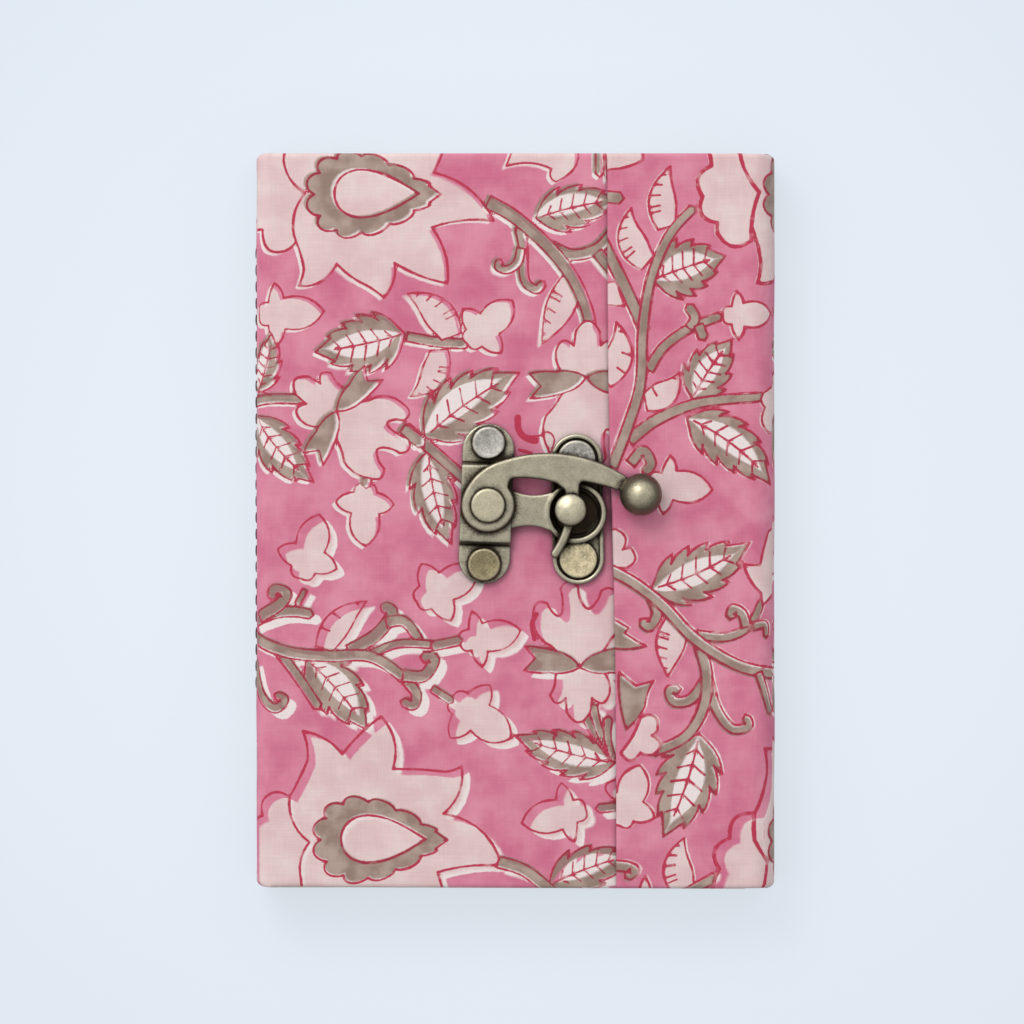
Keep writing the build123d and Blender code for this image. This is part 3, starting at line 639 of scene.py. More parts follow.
def printed_cotton(cloth):
    """Hand-block printed cotton: plain weave, matt, thin inks that bleed and miss each other a little."""
    made, tree, shader = material("hand_block_printed_cotton")
    place = add(tree, "ShaderNodeAttribute", out="Vector", attribute_name="weave")
    edges = {ink: add(tree, "ShaderNodeAttribute", out="Fac", attribute_name=ink) for ink in INKS}

    def printed(edge, wander, reach, soft):
        """Share of an ink, from the distance to its edge, which wanders with a noise and is soft."""
        moved = add(tree, MATH, (wander, reach, edge), operation="MULTIPLY_ADD")
        bare = add(tree, MATH, (soft, reach / 2), operation="ADD")
        full = add(tree, MATH, (reach / 2, soft), operation="SUBTRACT")
        return add(tree, RANGE, (moved, bare, full), **SOFT)

    # Close to a red line, the way to its middle gives its edge.
    way = add(tree, "ShaderNodeAttribute", out="Vector", attribute_name="way")
    across = add(tree, "ShaderNodeVectorMath", (way, (1, 1, 0)), operation="MULTIPLY")
    length = add(tree, "ShaderNodeVectorMath", (across,), "Value", operation="LENGTH")
    half = add(tree, "ShaderNodeSeparateXYZ", (way,), "Z")
    crisp = add(tree, MATH, (length, half), operation="SUBTRACT")
    guard = add(tree, MATH, (edges["line"], LINE_GUARD), operation="SUBTRACT")
    edges["line"] = add(tree, MATH, (crisp, guard), operation="MAXIMUM")

    # Noises by size in millimetres and detail: bleed, nicks in a line, broad and small patches of dye,
    # a line's swell, and spots where a line is thin.
    bleed, nicks, broad, patch, swell, spots = (
        add(tree, NOISE, {"Vector": place, "Scale": 1 / size, "Detail": detail})
        for size, detail in (
            (cloth.bleed_size, 3.0),
            (cloth.cut_size, 2.0),
            (cloth.dye_size, 4.0),
            (cloth.dye_size * 0.45, 3.0),
            (cloth.cut_size * 6, 2.0),
            (3.5, 2.0),
        )
    )
    # Where each ink is: how far its edge wanders and how soft it is, in millimetres.
    ground_soft = add(tree, RANGE, (broad, 0.48, 0.7, 0.14, 0.6), **SOFT)
    leaf_soft = add(tree, RANGE, (patch, 0.4, 0.65, 0.15, 0.55), **SOFT)
    ragged = add(tree, MATH, (swell, 0.65), operation="MULTIPLY")
    ragged = add(tree, MATH, (nicks, 0.35, ragged), operation="MULTIPLY_ADD")
    reserved = printed(edges["ground"], bleed, 0.5, ground_soft)
    petal = printed(edges["petal"], bleed, 1.4, 0.7)
    leaf = printed(edges["leaf"], nicks, 0.35, leaf_soft)
    line = printed(edges["line"], ragged, 0.7, 0.12)
    # How strong each ink is, thin in patches as hand-dabbed blocks leave it.
    dyed = add(tree, MATH, (1.0, reserved), operation="SUBTRACT")
    petal_thin = add(tree, RANGE, (patch, 0.3, 0.5, 0.86, 1.0), **SOFT)
    line_thin = add(tree, RANGE, (spots, 0.3, 0.48, 0.6, 1.0), **SOFT)
    petal_share, line_share, leaf_share, leaf_under = (
        add(tree, MATH, pair, operation="MULTIPLY")
        for pair in ((petal, petal_thin), (line, line_thin), (leaf, 0.94), (leaf, 0.5))
    )
    # The inks' colours, then each ink over what lies under it.
    wash = add(tree, MATH, (patch, 0.5, broad), operation="MULTIPLY_ADD")
    wash = add(tree, RANGE, (wash, 0.45, 1.05), **SOFT)
    cloudy = add(tree, RANGE, (patch, 0.35, 0.65), **SOFT)
    pink, blush, taupe, red = (
        add(tree, MIX, {0: share, 6: pale, 7: deep}, **COLOURS)
        for share, pale, deep in (
            (wash, cloth.ground_pale, cloth.ground_deep),
            (wash, cloth.petal_pale, cloth.petal_deep),
            (cloudy, cloth.leaf_pale, cloth.leaf_deep),
            (leaf_under, cloth.line, cloth.line_on_leaf),
        )
    )
    taupe = add(tree, MIX, {0: dyed, 6: taupe, 7: cloth.leaf_on_ground}, **COLOURS)
    colour = cloth.bare
    for share, ink in ((petal_share, blush), (dyed, pink), (leaf_share, taupe), (line_share, red)):
        colour = add(tree, MIX, {0: share, 6: colour, 7: ink}, **COLOURS)

    # The real threads are about 0.25 mm apart, too fine to show, so the weave is drawn coarser.
    turns = 2 * math.pi / (WAVE_TURN * cloth.thread_pitch)
    inputs = {"Vector": place, "Scale": turns, "Distortion": 2.0, "Detail": 1.0, "Detail Scale": 0.8}
    warp, weft = (add(tree, "ShaderNodeTexWave", inputs, "Fac", bands_direction=axis) for axis in "XY")
    threads = add(tree, MATH, (warp, weft), operation="ADD")
    # Slubs, thick places in a thread, run about 8 mm along it and 0.4 mm across.
    slubs = []
    for stretch in ((2.6, 0.12, 1), (0.12, 2.6, 1)):
        drawn = add(tree, "ShaderNodeMapping", {"Vector": place, "Scale": stretch})
        slubs.append(add(tree, NOISE, {"Vector": drawn, "Scale": 1.0, "Detail": 2.0}))
    slubs = add(tree, MATH, slubs, operation="ADD")
    cast = add(tree, MATH, (threads, 0.1, slubs), operation="MULTIPLY_ADD")
    # Cloth close under metal or beside a folded edge is painted darker: painted shade where the light is
    # blocked.
    contact_shade = add(tree, "ShaderNodeAmbientOcclusion", {"Distance": cloth.contact_shade_reach * MM}, "AO", samples=8)
    contact_shade = add(tree, RANGE, (contact_shade, 0.15, 0.78, 0.12, 1.0), **SOFT)
    woven = add(tree, RANGE, (cast, 0.75, 1.4, 0.96, 1.035), **SOFT)
    # The weave's tone, darkened by the painted shade.
    value = add(tree, MATH, (woven, contact_shade), operation="MULTIPLY")
    set_inputs(tree, shader, {
        "Base Color": add(tree, "ShaderNodeHueSaturation", {"Color": colour, "Value": value}),
        "Normal": add(tree, "ShaderNodeBump", {"Height": cast, "Strength": 0.3, "Distance": 0.12 * MM}),
        "Roughness": 0.86,
        "Specular IOR Level": 0.2,
        "Sheen Weight": 0.06,
        "Sheen Roughness": 0.5,
    })
    return made


def handmade_paper(name, pale, deep):
    """Handmade rag paper: matt, felted, with short fibres and a faint cloudiness."""
    made, tree, shader = material(name)
    # In millimetres: size of a cloud, width of a fibre, and how far it stands up.
    cloud_size, fibre_size, fibre_rise = 9.0, 0.5, 0.1
    place = add(tree, "ShaderNodeTexCoord", out="Object")
    drawn = add(tree, "ShaderNodeMapping", {"Vector": place, "Scale": (0.25, 1, 1), "Rotation": (0, 0, 0.6)})
    cloud = add(tree, NOISE, {"Vector": place, "Scale": 1 / (cloud_size * MM), "Detail": 4.0})
    fibre = add(tree, NOISE, {"Vector": drawn, "Scale": 1 / (fibre_size * MM), "Detail": 3.0})
    both = add(tree, MATH, (fibre, 0.4, cloud), operation="MULTIPLY_ADD")
    share = add(tree, RANGE, (both, 0.4, 1.0))
    bump = {"Height": fibre, "Strength": 0.3, "Distance": fibre_rise * MM}
    set_inputs(tree, shader, {
        "Base Color": add(tree, MIX, {0: share, 6: deep, 7: pale}, **COLOURS),
        "Normal": add(tree, "ShaderNodeBump", bump),
        "Roughness": 0.9,
        "Specular IOR Level": 0.2,
    })
    return made


def waxed_thread(thread):
    """Waxed linen thread: two plies twisted, dark, with a dull shine."""
    made, tree, shader = material("waxed_linen_thread")
    # In millimetres: distance from ply to ply, and depth between them.
    ply_pitch, ply_depth = 0.7, 0.1
    place = add(tree, "ShaderNodeTexCoord", out="Object")
    turns = 2 * math.pi / (WAVE_TURN * ply_pitch * MM)
    inputs = {"Vector": place, "Scale": turns, "Distortion": 2.0}
    ply = add(tree, "ShaderNodeTexWave", inputs, "Fac", bands_direction="DIAGONAL")
    # The thread is painted darker between the plies and lighter on them: painted shade and painted highlight
    # that follow the twist.
    set_inputs(tree, shader, {
        "Base Color": add(tree, MIX, {0: ply, 6: thread.dark, 7: thread.light}, **COLOURS),
        "Normal": add(tree, "ShaderNodeBump", {"Height": ply, "Strength": 0.5, "Distance": ply_depth * MM}),
        "Roughness": 0.55,
    })
    return made


def antiqued_metal(name, metal, plating, wear):
    """Cast zinc, brass plated, blackened and rubbed back: blackened in hollows, worn bright on crowns, and
    painted in shade on sides, rims and by neighbouring parts.
    """
    made, tree, shader = material(name)
    # In millimetres: size of a mottle and of the casting's grit, and how far the grit stands up.
    mottle_size, grit_size, grit_rise = 2.4, 0.4, 0.1
    place = add(tree, "ShaderNodeTexCoord", out="Object")
    mottle, grit = (
        add(tree, NOISE, {"Vector": place, "Scale": 1 / (size * MM), "Detail": detail, "Roughness": 0.6})
        for size, detail in ((mottle_size, 5.0), (grit_size, 3.0))
    )
    speckle = add(tree, MATH, (mottle, grit), operation="ADD")
    # How closed in each point is, within the hollow reach: real blackening in hollows, and painted shade by
    # neighbouring parts.
    hollow = add(tree, "ShaderNodeAmbientOcclusion", {"Distance": metal.hollow_reach * MM}, "AO", samples=16)
    # Every edge is rubbed round and worn bright along its crown; just outside the crown, where the rounded
    # edge turns away from straight up, it is painted in shade.
    rounded = add(tree, "ShaderNodeBevel", {"Radius": metal.edge_round * MM}, samples=8)
    flat = add(tree, "ShaderNodeNewGeometry", out="Normal")
    bend = add(tree, "ShaderNodeVectorMath", (rounded, flat), "Value", operation="DOT_PRODUCT")
    up = add(tree, "ShaderNodeSeparateXYZ", (rounded,), "Z")
    # Rubbed bright unevenly where it stands out; blackened in hollows, and painted in shade where other parts
    # lie close.
    proud = add(tree, MATH, (speckle, 0.26, hollow), operation="MULTIPLY_ADD")
    proud = add(tree, RANGE, (proud, 0.84, 1.18), **SOFT)
    # Painted shade: darker where the rounded surface turns away from straight up, on sides, rims and just
    # outside each edge.
    side_shade = add(tree, MATH, (grit, 0.16, up), operation="MULTIPLY_ADD")
    side_shade = add(tree, RANGE, (side_shade, 0.74, 1.04, 0.26, 1.0), **SOFT)
    wear_and_shade = add(tree, MATH, (proud, side_shade), operation="MULTIPLY")
    crown = add(tree, RANGE, (bend, 0.998, 0.93), **SOFT)
    crown = add(tree, MATH, (crown, 0.75), operation="MULTIPLY")
    clouded = add(tree, RANGE, (speckle, 0.72, 1.25, 1 - wear, 1 + wear / 3), **SOFT)
    face = add(tree, "ShaderNodeHueSaturation", {"Color": plating(tree, place), "Value": clouded})
    face = add(tree, MIX, {0: crown, 6: face, 7: metal.crown}, **COLOURS)
    smooth_most, smooth_least = metal.roughness - 0.06, metal.roughness + 0.1
    inputs = {"Height": grit, "Strength": 0.2, "Distance": grit_rise * MM, "Normal": rounded}
    set_inputs(tree, shader, {
        # Blackened brass where wear and shade are low: blackening in hollows, and painted shade on sides,
        # rims and by neighbouring parts.
        "Base Color": add(tree, MIX, {0: wear_and_shade, 6: metal.dark, 7: face}, **COLOURS),
        "Roughness": add(tree, RANGE, (mottle, 0.3, 0.7, smooth_most, smooth_least), **SOFT),
        "Normal": add(tree, "ShaderNodeBump", inputs),
        "Metallic": 1.0,
    })
    return made


def dressed(name, points, faces, skin, smooth=True):
    """A mesh object from points in millimetres, with one material."""
    mesh = bpy.data.meshes.new(name)
    mesh.from_pydata((np.asarray(points) * MM).tolist(), [], faces)
    mesh.validate()
    mesh.polygons.foreach_set("use_smooth", [smooth] * len(mesh.polygons))
    mesh.materials.append(skin)
    mesh.update()
    made = bpy.data.objects.new(name, mesh)
    bpy.context.scene.collection.objects.link(made)
    return made


def reskinned(node, skin):
    """Gives a CAD node one material."""
    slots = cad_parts[node].data.materials
    slots.clear()
    slots.append(skin)


def every(start, stop, step):
    """Evenly spaced distances from start to stop, at most step apart."""
    return np.linspace(start, stop, max(2, int(math.ceil(abs(stop - start) / step)) + 1))


def joined(*runs):
    """Runs of distances, each starting where the last one stops."""
    return np.concatenate([runs[0], *(run[1:] for run in runs[1:])])


def case_path(s):
    """Places and outward ways (x, z, nx, nz) on the case, at distances round it from the flap's fold."""
    s = np.asarray(s, float)
    x, z, heading, start = FOLD_X, FLAP_TOP_Z, 0.0, 0.0
    found = np.stack([x + s, np.full(s.shape, z), np.zeros(s.shape), np.ones(s.shape)])
    for radius, length in CASE_RUNS:
        along = s - start
        turn = along / radius if radius else np.zeros(s.shape)
        way = heading - turn
        nx, nz = -np.sin(way), np.cos(way)
        if radius:
            px = x + math.sin(heading) * radius + nx * radius
            pz = z - math.cos(heading) * radius + nz * radius
        else:
            px = x + math.cos(heading) * along
            pz = z + math.sin(heading) * along
        found = np.where(s >= start, np.stack([px, pz, nx, nz]), found)
        if radius:
            heading_next = heading - length / radius
            x += math.sin(heading) * radius - math.sin(heading_next) * radius
            z += -math.cos(heading) * radius + math.cos(heading_next) * radius
            heading = heading_next
        else:
            x += math.cos(heading) * length
            z += math.sin(heading) * length
        start += length
    return found


def soft_place(s, y, depth):
    """Points of the cloth at distances round the case and along it, at a depth below its outer face."""
    x, z, nx, nz = case_path(s)
    # Slow waves about 60 mm long, and a ripple of about 27 mm across them.
    swell = SWELL * np.sin(0.11 * y + 0.5) * np.sin(0.09 * s + 0.4) + RIPPLE * np.sin(0.23 * y + 0.07 * s)
    x = x + nx * (swell - depth)
    z = z + nz * (swell - depth)
    # The four corners are rounded off, as cloth pulled over card is.
    ends = np.clip(np.abs(y) / CORNER_ROUND - HEAD_Y / CORNER_ROUND + 1, 0, 1)
    sides = np.clip((np.abs(x) - np.where(x < 0, -SPINE_X, FORE_X)) / (2 * CORNER_ROUND) + 1, 0, 1)
    x = x - np.sign(x) * CORNER_ROUND * (1 - np.sqrt(1 - ends**2)) * sides
    low = np.clip(-y / HEAD_Y, 0, 1)
    y = y + TAIL_SKEW * low * (1 - x / FORE_X) / 2
    return np.stack([x, y, z], axis=-1)


def edge_rings(bulge):
    """How far outward and how deep the cloth goes as it wraps an edge and is turned in, ring by ring."""
    angles = np.linspace(0, math.pi, 11)[1:]
    rings = [(bulge * math.sin(a) ** 0.8, (1 - math.cos(a)) / 2) for a in angles]
    return rings + [(-TURN_IN * share, 1.0) for share in (0.3, 1.0)]


def print_runs():
    """The blocks round the case: how far each is shifted, its drawing, and where it starts and stops."""
    front, flap = (upper_front, lower_front), (upper_flap, lower_flap)
    stops = (
        (0.0, flap, FLAP_RIGHT_X),
        (REPEAT_X, front, REPEAT_X + FRONT_RIGHT_X),
        (REPEAT_X, flap, REPEAT_X + FLAP_RIGHT_X),
        (2 * REPEAT_X, front, FOLD_X + LOWER_BEND_S),
        (FRONT_PRINT_X - REPEAT_X, flap, FRONT_PRINT_X + BLOCK_LEFT_X),
        (FRONT_PRINT_X, front, FRONT_PRINT_X + FRONT_RIGHT_X),
        (FRONT_PRINT_X, flap, FRONT_PRINT_X + 2 * FORE_X),
    )
    start = -FRONT_PRINT_X
    for shift, parts, stop in stops:
        for part in parts:
            yield shift, part, start, stop
        start = stop


def print_on(made, s, y, depth):
    """Prints the blocks on a cloth, as attributes of its points."""
    around = FOLD_X + s
    cloth = Print(around, y)
    for shift, part, start, stop in print_runs():
        cloth.x = around - shift
        cloth.open = (around >= start) & (around < stop)
        part(cloth)
    for ink in INKS:
        store = made.data.attributes.new(ink, "FLOAT", "POINT")
        store.data.foreach_set("value", getattr(cloth, ink).astype(np.float32))
    for name, values in (("weave", np.stack([s, y, depth], axis=1)), ("way", cloth.way)):
        store = made.data.attributes.new(name, "FLOAT_VECTOR", "POINT")
        store.data.foreach_set("vector", values.astype(np.float32).ravel())


def edge_chains(index, end):
    """The points that the cloth wraps from, in order, and the way outward (round, along) at each.

    They run along head and tail, and at one end also round the two corners and down its side.
    """
    head = [(k, 0.0, 1.0) for k in index[:, -1]]
    tail = [(k, 0.0, -1.0) for k in index[::-1, 0]]
    fan = np.linspace(0, QUARTER, 6)[1:-1]
    if end > 0:
        side = [(k, 1.0, 0.0) for k in index[-1, ::-1]]
        top = [(index[-1, -1], math.sin(a), math.cos(a)) for a in fan]
        bottom = [(index[-1, 0], math.cos(a), -math.sin(a)) for a in fan]
        return [head + top + side + bottom + tail]
    if end < 0:
        side = [(k, -1.0, 0.0) for k in index[0]]
        bottom = [(index[0, 0], -math.sin(a), -math.cos(a)) for a in fan]
        top = [(index[0, -1], -math.cos(a), math.sin(a)) for a in fan]
        return [tail + bottom + side + top + head]
    return [head, tail]


def wrapped_cloth(name, columns, rows, wrap, bulge, skin, end=0, edge=None):
    """A cloth face round part of the case, wrapped over its card at head and tail, and at one end if told.

    columns are distances round the case, rows distances along it, wrap the depth that the cloth wraps,
    and edge the wander of its free edge, which is its first column.
    """
    columns, rows = np.asarray(columns), np.asarray(rows)
    count, height = len(columns), len(rows)
    s, y = np.meshgrid(columns, rows, indexing="ij")
    if edge is not None:
        free, held = columns[0], columns[-1]
        s = s + (s - held) / (free - held) * edge(y)
    s, y = s.ravel(), y.ravel()
    index = np.arange(count * height).reshape(count, height)
    faces = []
    for i in range(count - 1):
        for j in range(height - 1):
            faces.append((index[i, j], index[i + 1, j], index[i + 1, j + 1], index[i, j + 1]))
    all_s, all_y, all_depth = [s], [y], [np.zeros(len(s))]
    total = len(s)
    for chain in edge_chains(index, end):
        which = np.array([k for k, _, _ in chain])
        ds, dy = np.array([d for _, d, _ in chain]), np.array([d for _, _, d in chain])
        # By a corner the turn-in stops short, where it meets the turn-in of the next edge.
        room = np.where(np.abs(s[which] - HINGE_S) < HINGE_REACH, HINGE_TURN_IN, TURN_IN)
        if end:
            to_side = np.where(dy != 0, np.abs(s[which] - s[index[-1 if end > 0 else 0, -1]]), TURN_IN)
            to_ends = np.where(ds != 0, np.minimum(y[which] - rows[0], rows[-1] - y[which]), TURN_IN)
            room = np.minimum(room, np.minimum(to_side, to_ends))
        last = which
        for out, deep in edge_rings(bulge):
            out = np.full(len(chain), out) if out >= 0 else -np.minimum(room, -out)
            all_s.append(s[which] + ds * out)
            all_y.append(y[which] + dy * out)
            all_depth.append(deep * wrap(s[which]))
            ring = total + np.arange(len(chain))
            total += len(chain)
            for k in range(len(chain) - 1):
                quad = (last[k], last[k + 1], ring[k + 1], ring[k])
                faces.append(tuple(dict.fromkeys(quad)))
            last = ring
    s, y, depth = np.concatenate(all_s), np.concatenate(all_y), np.concatenate(all_depth)
    made = dressed(name, soft_place(s, y, depth), [[int(v) for v in face] for face in faces], skin)
    print_on(made, s, y, depth)
    return made


def torn(length, seed, depth):
    """A torn edge's wander at distances along it: waves of three lengths, each with its share."""
    wander = np.zeros(np.shape(length))
    for k, (pitch, share) in enumerate(((23.0, 0.45), (7.3, 0.3), (2.9, 0.25))):
        wander += share * np.sin(2 * np.pi * length / pitch + seed * 2.4 + k * 1.7)
    return depth * wander


def level_place(x, y, z):
    """Points as they are given."""
    return np.stack([x, y, z], axis=-1)


def crease_place(s, y, height):
    """Points of a lining inside the flap, its creases and the fore edge, at a height over its own back."""
    return soft_place(s, y, np.interp(s, [LOWER_FOLD_S, BACK_S], [FLAP_WRAP, COVER_WRAP]) - height)


def paper_sheet(name, low, high, skin, seed=1, rough=0.3, step=2.5, place=level_place, sewn=False):
    """A paper sheet with deckled edges between two corners, straight where it is sewn in."""
    steps = [max(2, int((high[i] - low[i]) / step)) for i in (0, 1)]
    u, v = np.meshgrid(*(np.linspace(0, 1, count + 1) for count in steps), indexing="ij")
    x = low[0] + (high[0] - low[0]) * u
    y = low[1] + (high[1] - low[1]) * v
    # The deckle fades out over a twelfth of the width and an eighteenth of the length.
    near_x = np.clip(1 - 12 * np.minimum(u, 1 - u), 0, 1) * np.where(u < 0.5, sewn - 1, 1)
    near_y = np.clip(1 - 18 * np.minimum(v, 1 - v), 0, 1) * np.sign(v - 0.5)
    x = x + near_x * (torn(y, seed, rough) - rough)
    y = y + near_y * (torn(x, seed + 3, rough) - rough)
    x, y, count = x.ravel(), y.ravel(), x.size
    points = np.concatenate([place(x, y, np.full(count, level)) for level in (low[2], high[2])])
    index = np.arange(count).reshape(u.shape)
    faces = []
    for i in range(steps[0]):
        for j in range(steps[1]):
            quad = [int(k) for k in (index[i, j], index[i + 1, j], index[i + 1, j + 1], index[i, j + 1])]
            faces += [quad[::-1], [k + count for k in quad]]
    rim = [int(k) for k in (*index[:, 0], *index[-1, 1:], *index[-2::-1, -1], *index[0, -2:0:-1])]
    faces += [[a, b, b + count, a + count] for a, b in zip(rim, rim[1:] + rim[:1])]
    return dressed(name, points, faces, skin, smooth=False)


def gathering(node, number, paper, skin):
    """Nested folded sheets with deckled edges, drawn as closed thin solids."""
    (x0, y0, z0), (x1, y1, z1) = node_box(node)
    half, middle = (z1 - z0) / 2, (z0 + z1) / 2
    step = half / paper.folded_sheets
    # A sheet fills this share of its place. The inner sheets' fore edges fall back, in all by this much.
    filled, fall_back = 0.82, 0.35
    end_deckle = paper.deckle * 0.6
    y = every(y0, y1, PAGE_GRID)
    points, faces = [], []
    for k in range(paper.folded_sheets):
        outer, inner = half - k * step - 0.01, half - (k + filled) * step
        fore = x1 - fall_back * k / paper.folded_sheets
        turn = np.linspace(QUARTER, 3 * QUARTER, 9)
        along = np.linspace(fore, x0 + half, 9)[:-1]
        rail = []
        for radius in (outer, inner):
            top = [(x, middle + radius, (x - x0) / (x1 - x0)) for x in along]
            bend = [(x0 + half + radius * math.cos(a), middle + radius * math.sin(a), 0.0) for a in turn]
            low = [(x, middle - radius, (x - x0) / (x1 - x0)) for x in along[::-1]]
            rail.append(top + bend + low)
        ring = np.array(rail[0] + rail[1][::-1])
        count, base = len(ring), len(points)
        for j, at in enumerate(y):
            edge = torn(np.array([at]), number + 0.7 * k, paper.deckle)[0] - paper.deckle
            for x, z, share in ring:
                out = edge * np.clip(share * 8 - 7, 0, 1)
                end = torn(np.array([x]), number + 1.3 * k + (j > 0), end_deckle)[0]
                lift = (end - end_deckle) * ((j == len(y) - 1) - (j == 0))
                points.append((x + out, at + lift, z))
        for j in range(len(y) - 1):
            for i in range(count):
                a, b = base + j * count + i, base + j * count + (i + 1) % count
                faces.append((a, b, b + count, a + count))
        for j, way in ((0, -1), (len(y) - 1, 1)):
            first = base + j * count
            for i in range(count // 2 - 1):
                quad = (first + i, first + i + 1, first + count - 2 - i, first + count - 1 - i)
                faces.append(quad[::way])
    return dressed(node + "_sheets", points, faces, skin, smooth=False)


def tint(name, description, value):
    """A colour setting, from an sRGB hex value."""
    return bpy.props.FloatVectorProperty(
        name=name, description=description, subtype="COLOR", size=3, default=linear(value)
    )


def amount(name, description, default, **kind):
    """A setting that is a plain number, in millimetres where its description says so."""
    return bpy.props.FloatProperty(name=name, description=description, default=default, **kind)


def distance(name, description, default):
    """A setting that is a length in Blender's own unit."""
    return amount(name, description, default, unit="LENGTH")


def share_of(name, description, default):
    """A setting that is a share from 0 to 1."""
    return amount(name, description, default, subtype="FACTOR", min=0.0, max=1.0)


class DiaryCloth(bpy.types.PropertyGroup):
    """The printed cotton."""

    bare: tint("Bare cloth", "Undyed cloth between the inks", "#ECDEDA")
    ground_pale: tint("Ground, pale", "Pink ground where the dye is thin", "#E092A5")
    ground_deep: tint("Ground, deep", "Pink ground where the dye is strong", "#CC6B88")
    petal_pale: tint("Petal, pale", "Blush ink of the petals where it is thin", "#E6CFCB")
    petal_deep: tint("Petal, deep", "Blush ink of the petals where it is strong", "#DDB9B8")
    leaf_pale: tint("Leaf, pale", "Taupe ink of leaves and stems where it is thin", "#B0988B")
    leaf_deep: tint("Leaf, deep", "Taupe ink of leaves and stems where it is strong", "#8E7466")
    leaf_on_ground: tint("Leaf over ground", "Taupe ink where it runs over the pink", "#967A70")
    line: tint("Outline", "Red ink of the carved outlines", "#BC3A52")
    line_on_leaf: tint("Outline over leaf", "Red outline where it runs over taupe", "#7C2E36")
    thread_pitch: amount("Thread pitch", "Distance between drawn threads, in millimetres", 0.6)
    bleed_size: amount("Bleed size", "Size of the bleed at an ink's edge, in millimetres", 1.6)
    cut_size: amount("Cut size", "Size of the nicks in a carved outline, in millimetres", 0.9)
    dye_size: amount("Dye patch size", "Size of thin and strong patches of dye, in millimetres", 13.0)
    grid: amount("Grid", "Spacing of the cloth's points where it shows, in millimetres", 0.46)
    flap_grid: amount("Flap grid", "Spacing of the flap cloth's points, in millimetres", 0.34)
    hidden_grid: amount("Hidden grid", "Spacing of the cloth's points elsewhere, in millimetres", 0.65)
    # The painted shade on the cloth, under metal and beside the flap's edge, spreads this far.
    contact_shade_reach: amount("Tuck reach", "Spread of shade from what lies close, in millimetres", 4.0)


class DiaryPaper(bpy.types.PropertyGroup):
    """The pages and linings."""

    page_pale: tint("Page, pale", "Page colour where it is palest", "#EFE6D6")
    page_deep: tint("Page, deep", "Page colour where it is deepest", "#DCCFB9")
    lining_pale: tint("Lining, pale", "Lining paper where it is palest", "#E2D5C0")
    lining_deep: tint("Lining, deep", "Lining paper where it is deepest", "#CDBB9E")
    card_pale: tint("Card, pale", "Grey card where it is palest", "#B3ADA2")
    card_deep: tint("Card, deep", "Grey card where it is deepest", "#9A9489")
    folded_sheets: bpy.props.IntProperty(
        name="Sheets in a gathering", description="Folded sheets sewn together in each gathering", default=4
    )
    deckle: amount("Deckle", "Wander of the pages' torn edges, in millimetres", 0.45)


class DiaryThread(bpy.types.PropertyGroup):
    """The sewing on the spine."""

    # The dark colour is the thread painted in shade between the plies, the light one the thread with a
    # painted highlight on the plies.
    dark: tint("Thread, dark", "Thread colour between the plies", "#1E0C10")
    light: tint("Thread, light", "Thread colour on the plies", "#4A2028")
    pitch: distance("Stitch pitch", "Distance from stitch to stitch", 4.0 * MM)
    length: distance("Stitch length", "Length of a stitch on the cloth", 2.5 * MM)
    thickness: distance("Thread thickness", "Diameter of the thread", 0.5 * MM)
    rise: distance("Stitch rise", "Height of a stitch's middle above the cloth", 0.12 * MM)


class DiaryMetal(bpy.types.PropertyGroup):
    """The clasp and its rivets."""

    brass: tint("Rubbed brass", "Brass where it is rubbed bright", "#ADA58F")
    # Blackened brass, also used as painted shade on sides, rims and by neighbouring parts, and all over the
    # catch plate's well.
    dark: tint("Blackened brass", "Brass in the hollows", "#2B241B")
    post: tint("Polished post", "Brass of the post's head, polished by use", "#D3CAAE")
    handled: tint("Handled brass", "Brass of the ball and the pivot, which fingers rub", "#C0B79C")
    cap_top: tint("Upper caps", "Silvery plating of the upper rivet caps", "#BEB9AF")
    cap_left: tint("Lower left cap", "Dull brass of the lower left rivet cap", "#968A6A")
    cap_right: tint("Lower right cap", "Bright brass of the lower right rivet cap", "#D8C8A3")
    crown: tint("Worn edge", "Brass along the edges that hands rub", "#E2DAC0")
    # The blackening from a hollow, and the painted shade by neighbouring parts, spread this far.
    hollow_reach: amount("Hollow reach", "How far blackening spreads from a hollow, in millimetres", 3.4)
    edge_round: amount("Edge round", "Radius that wear leaves on an edge, in millimetres", 1.0)
    roughness: share_of("Roughness", "Roughness of the rubbed brass", 0.4)


class DiaryStage(bpy.types.PropertyGroup):
    """Floor, light and camera."""

    floor: tint("Floor", "Floor colour", "#E1EAF3")
    # The floor's colour in the painted pool of light round the diary.
    backdrop: tint("Floor by the diary", "Floor colour close to the diary", "#EBF4FC")
    glow: share_of("Floor glow", "Share of the seen floor that is its own light", 0.78)
    sky: tint("Sky", "Colour of the soft light from all round", "#F6F8FB")
    sky_strength: amount("Sky strength", "Strength of the soft light", 0.8)
    key_power: amount("Key power", "Power of the soft key light, in watts", 5.0)
    key_size: distance("Key size", "Side of the key light's square", 0.5)
    key_distance: distance("Key distance", "Distance of the key light from the diary", 1.3)
    camera_height: distance("Camera height", "Camera height above the front cover", 1.4)
    view_width: distance("View width", "Width of the view at the front cover", 247.6 * MM)
    view_x: distance("View centre x", "Middle of the view, across", -0.6 * MM)
    view_y: distance("View centre y", "Middle of the view, along", 2.2 * MM)


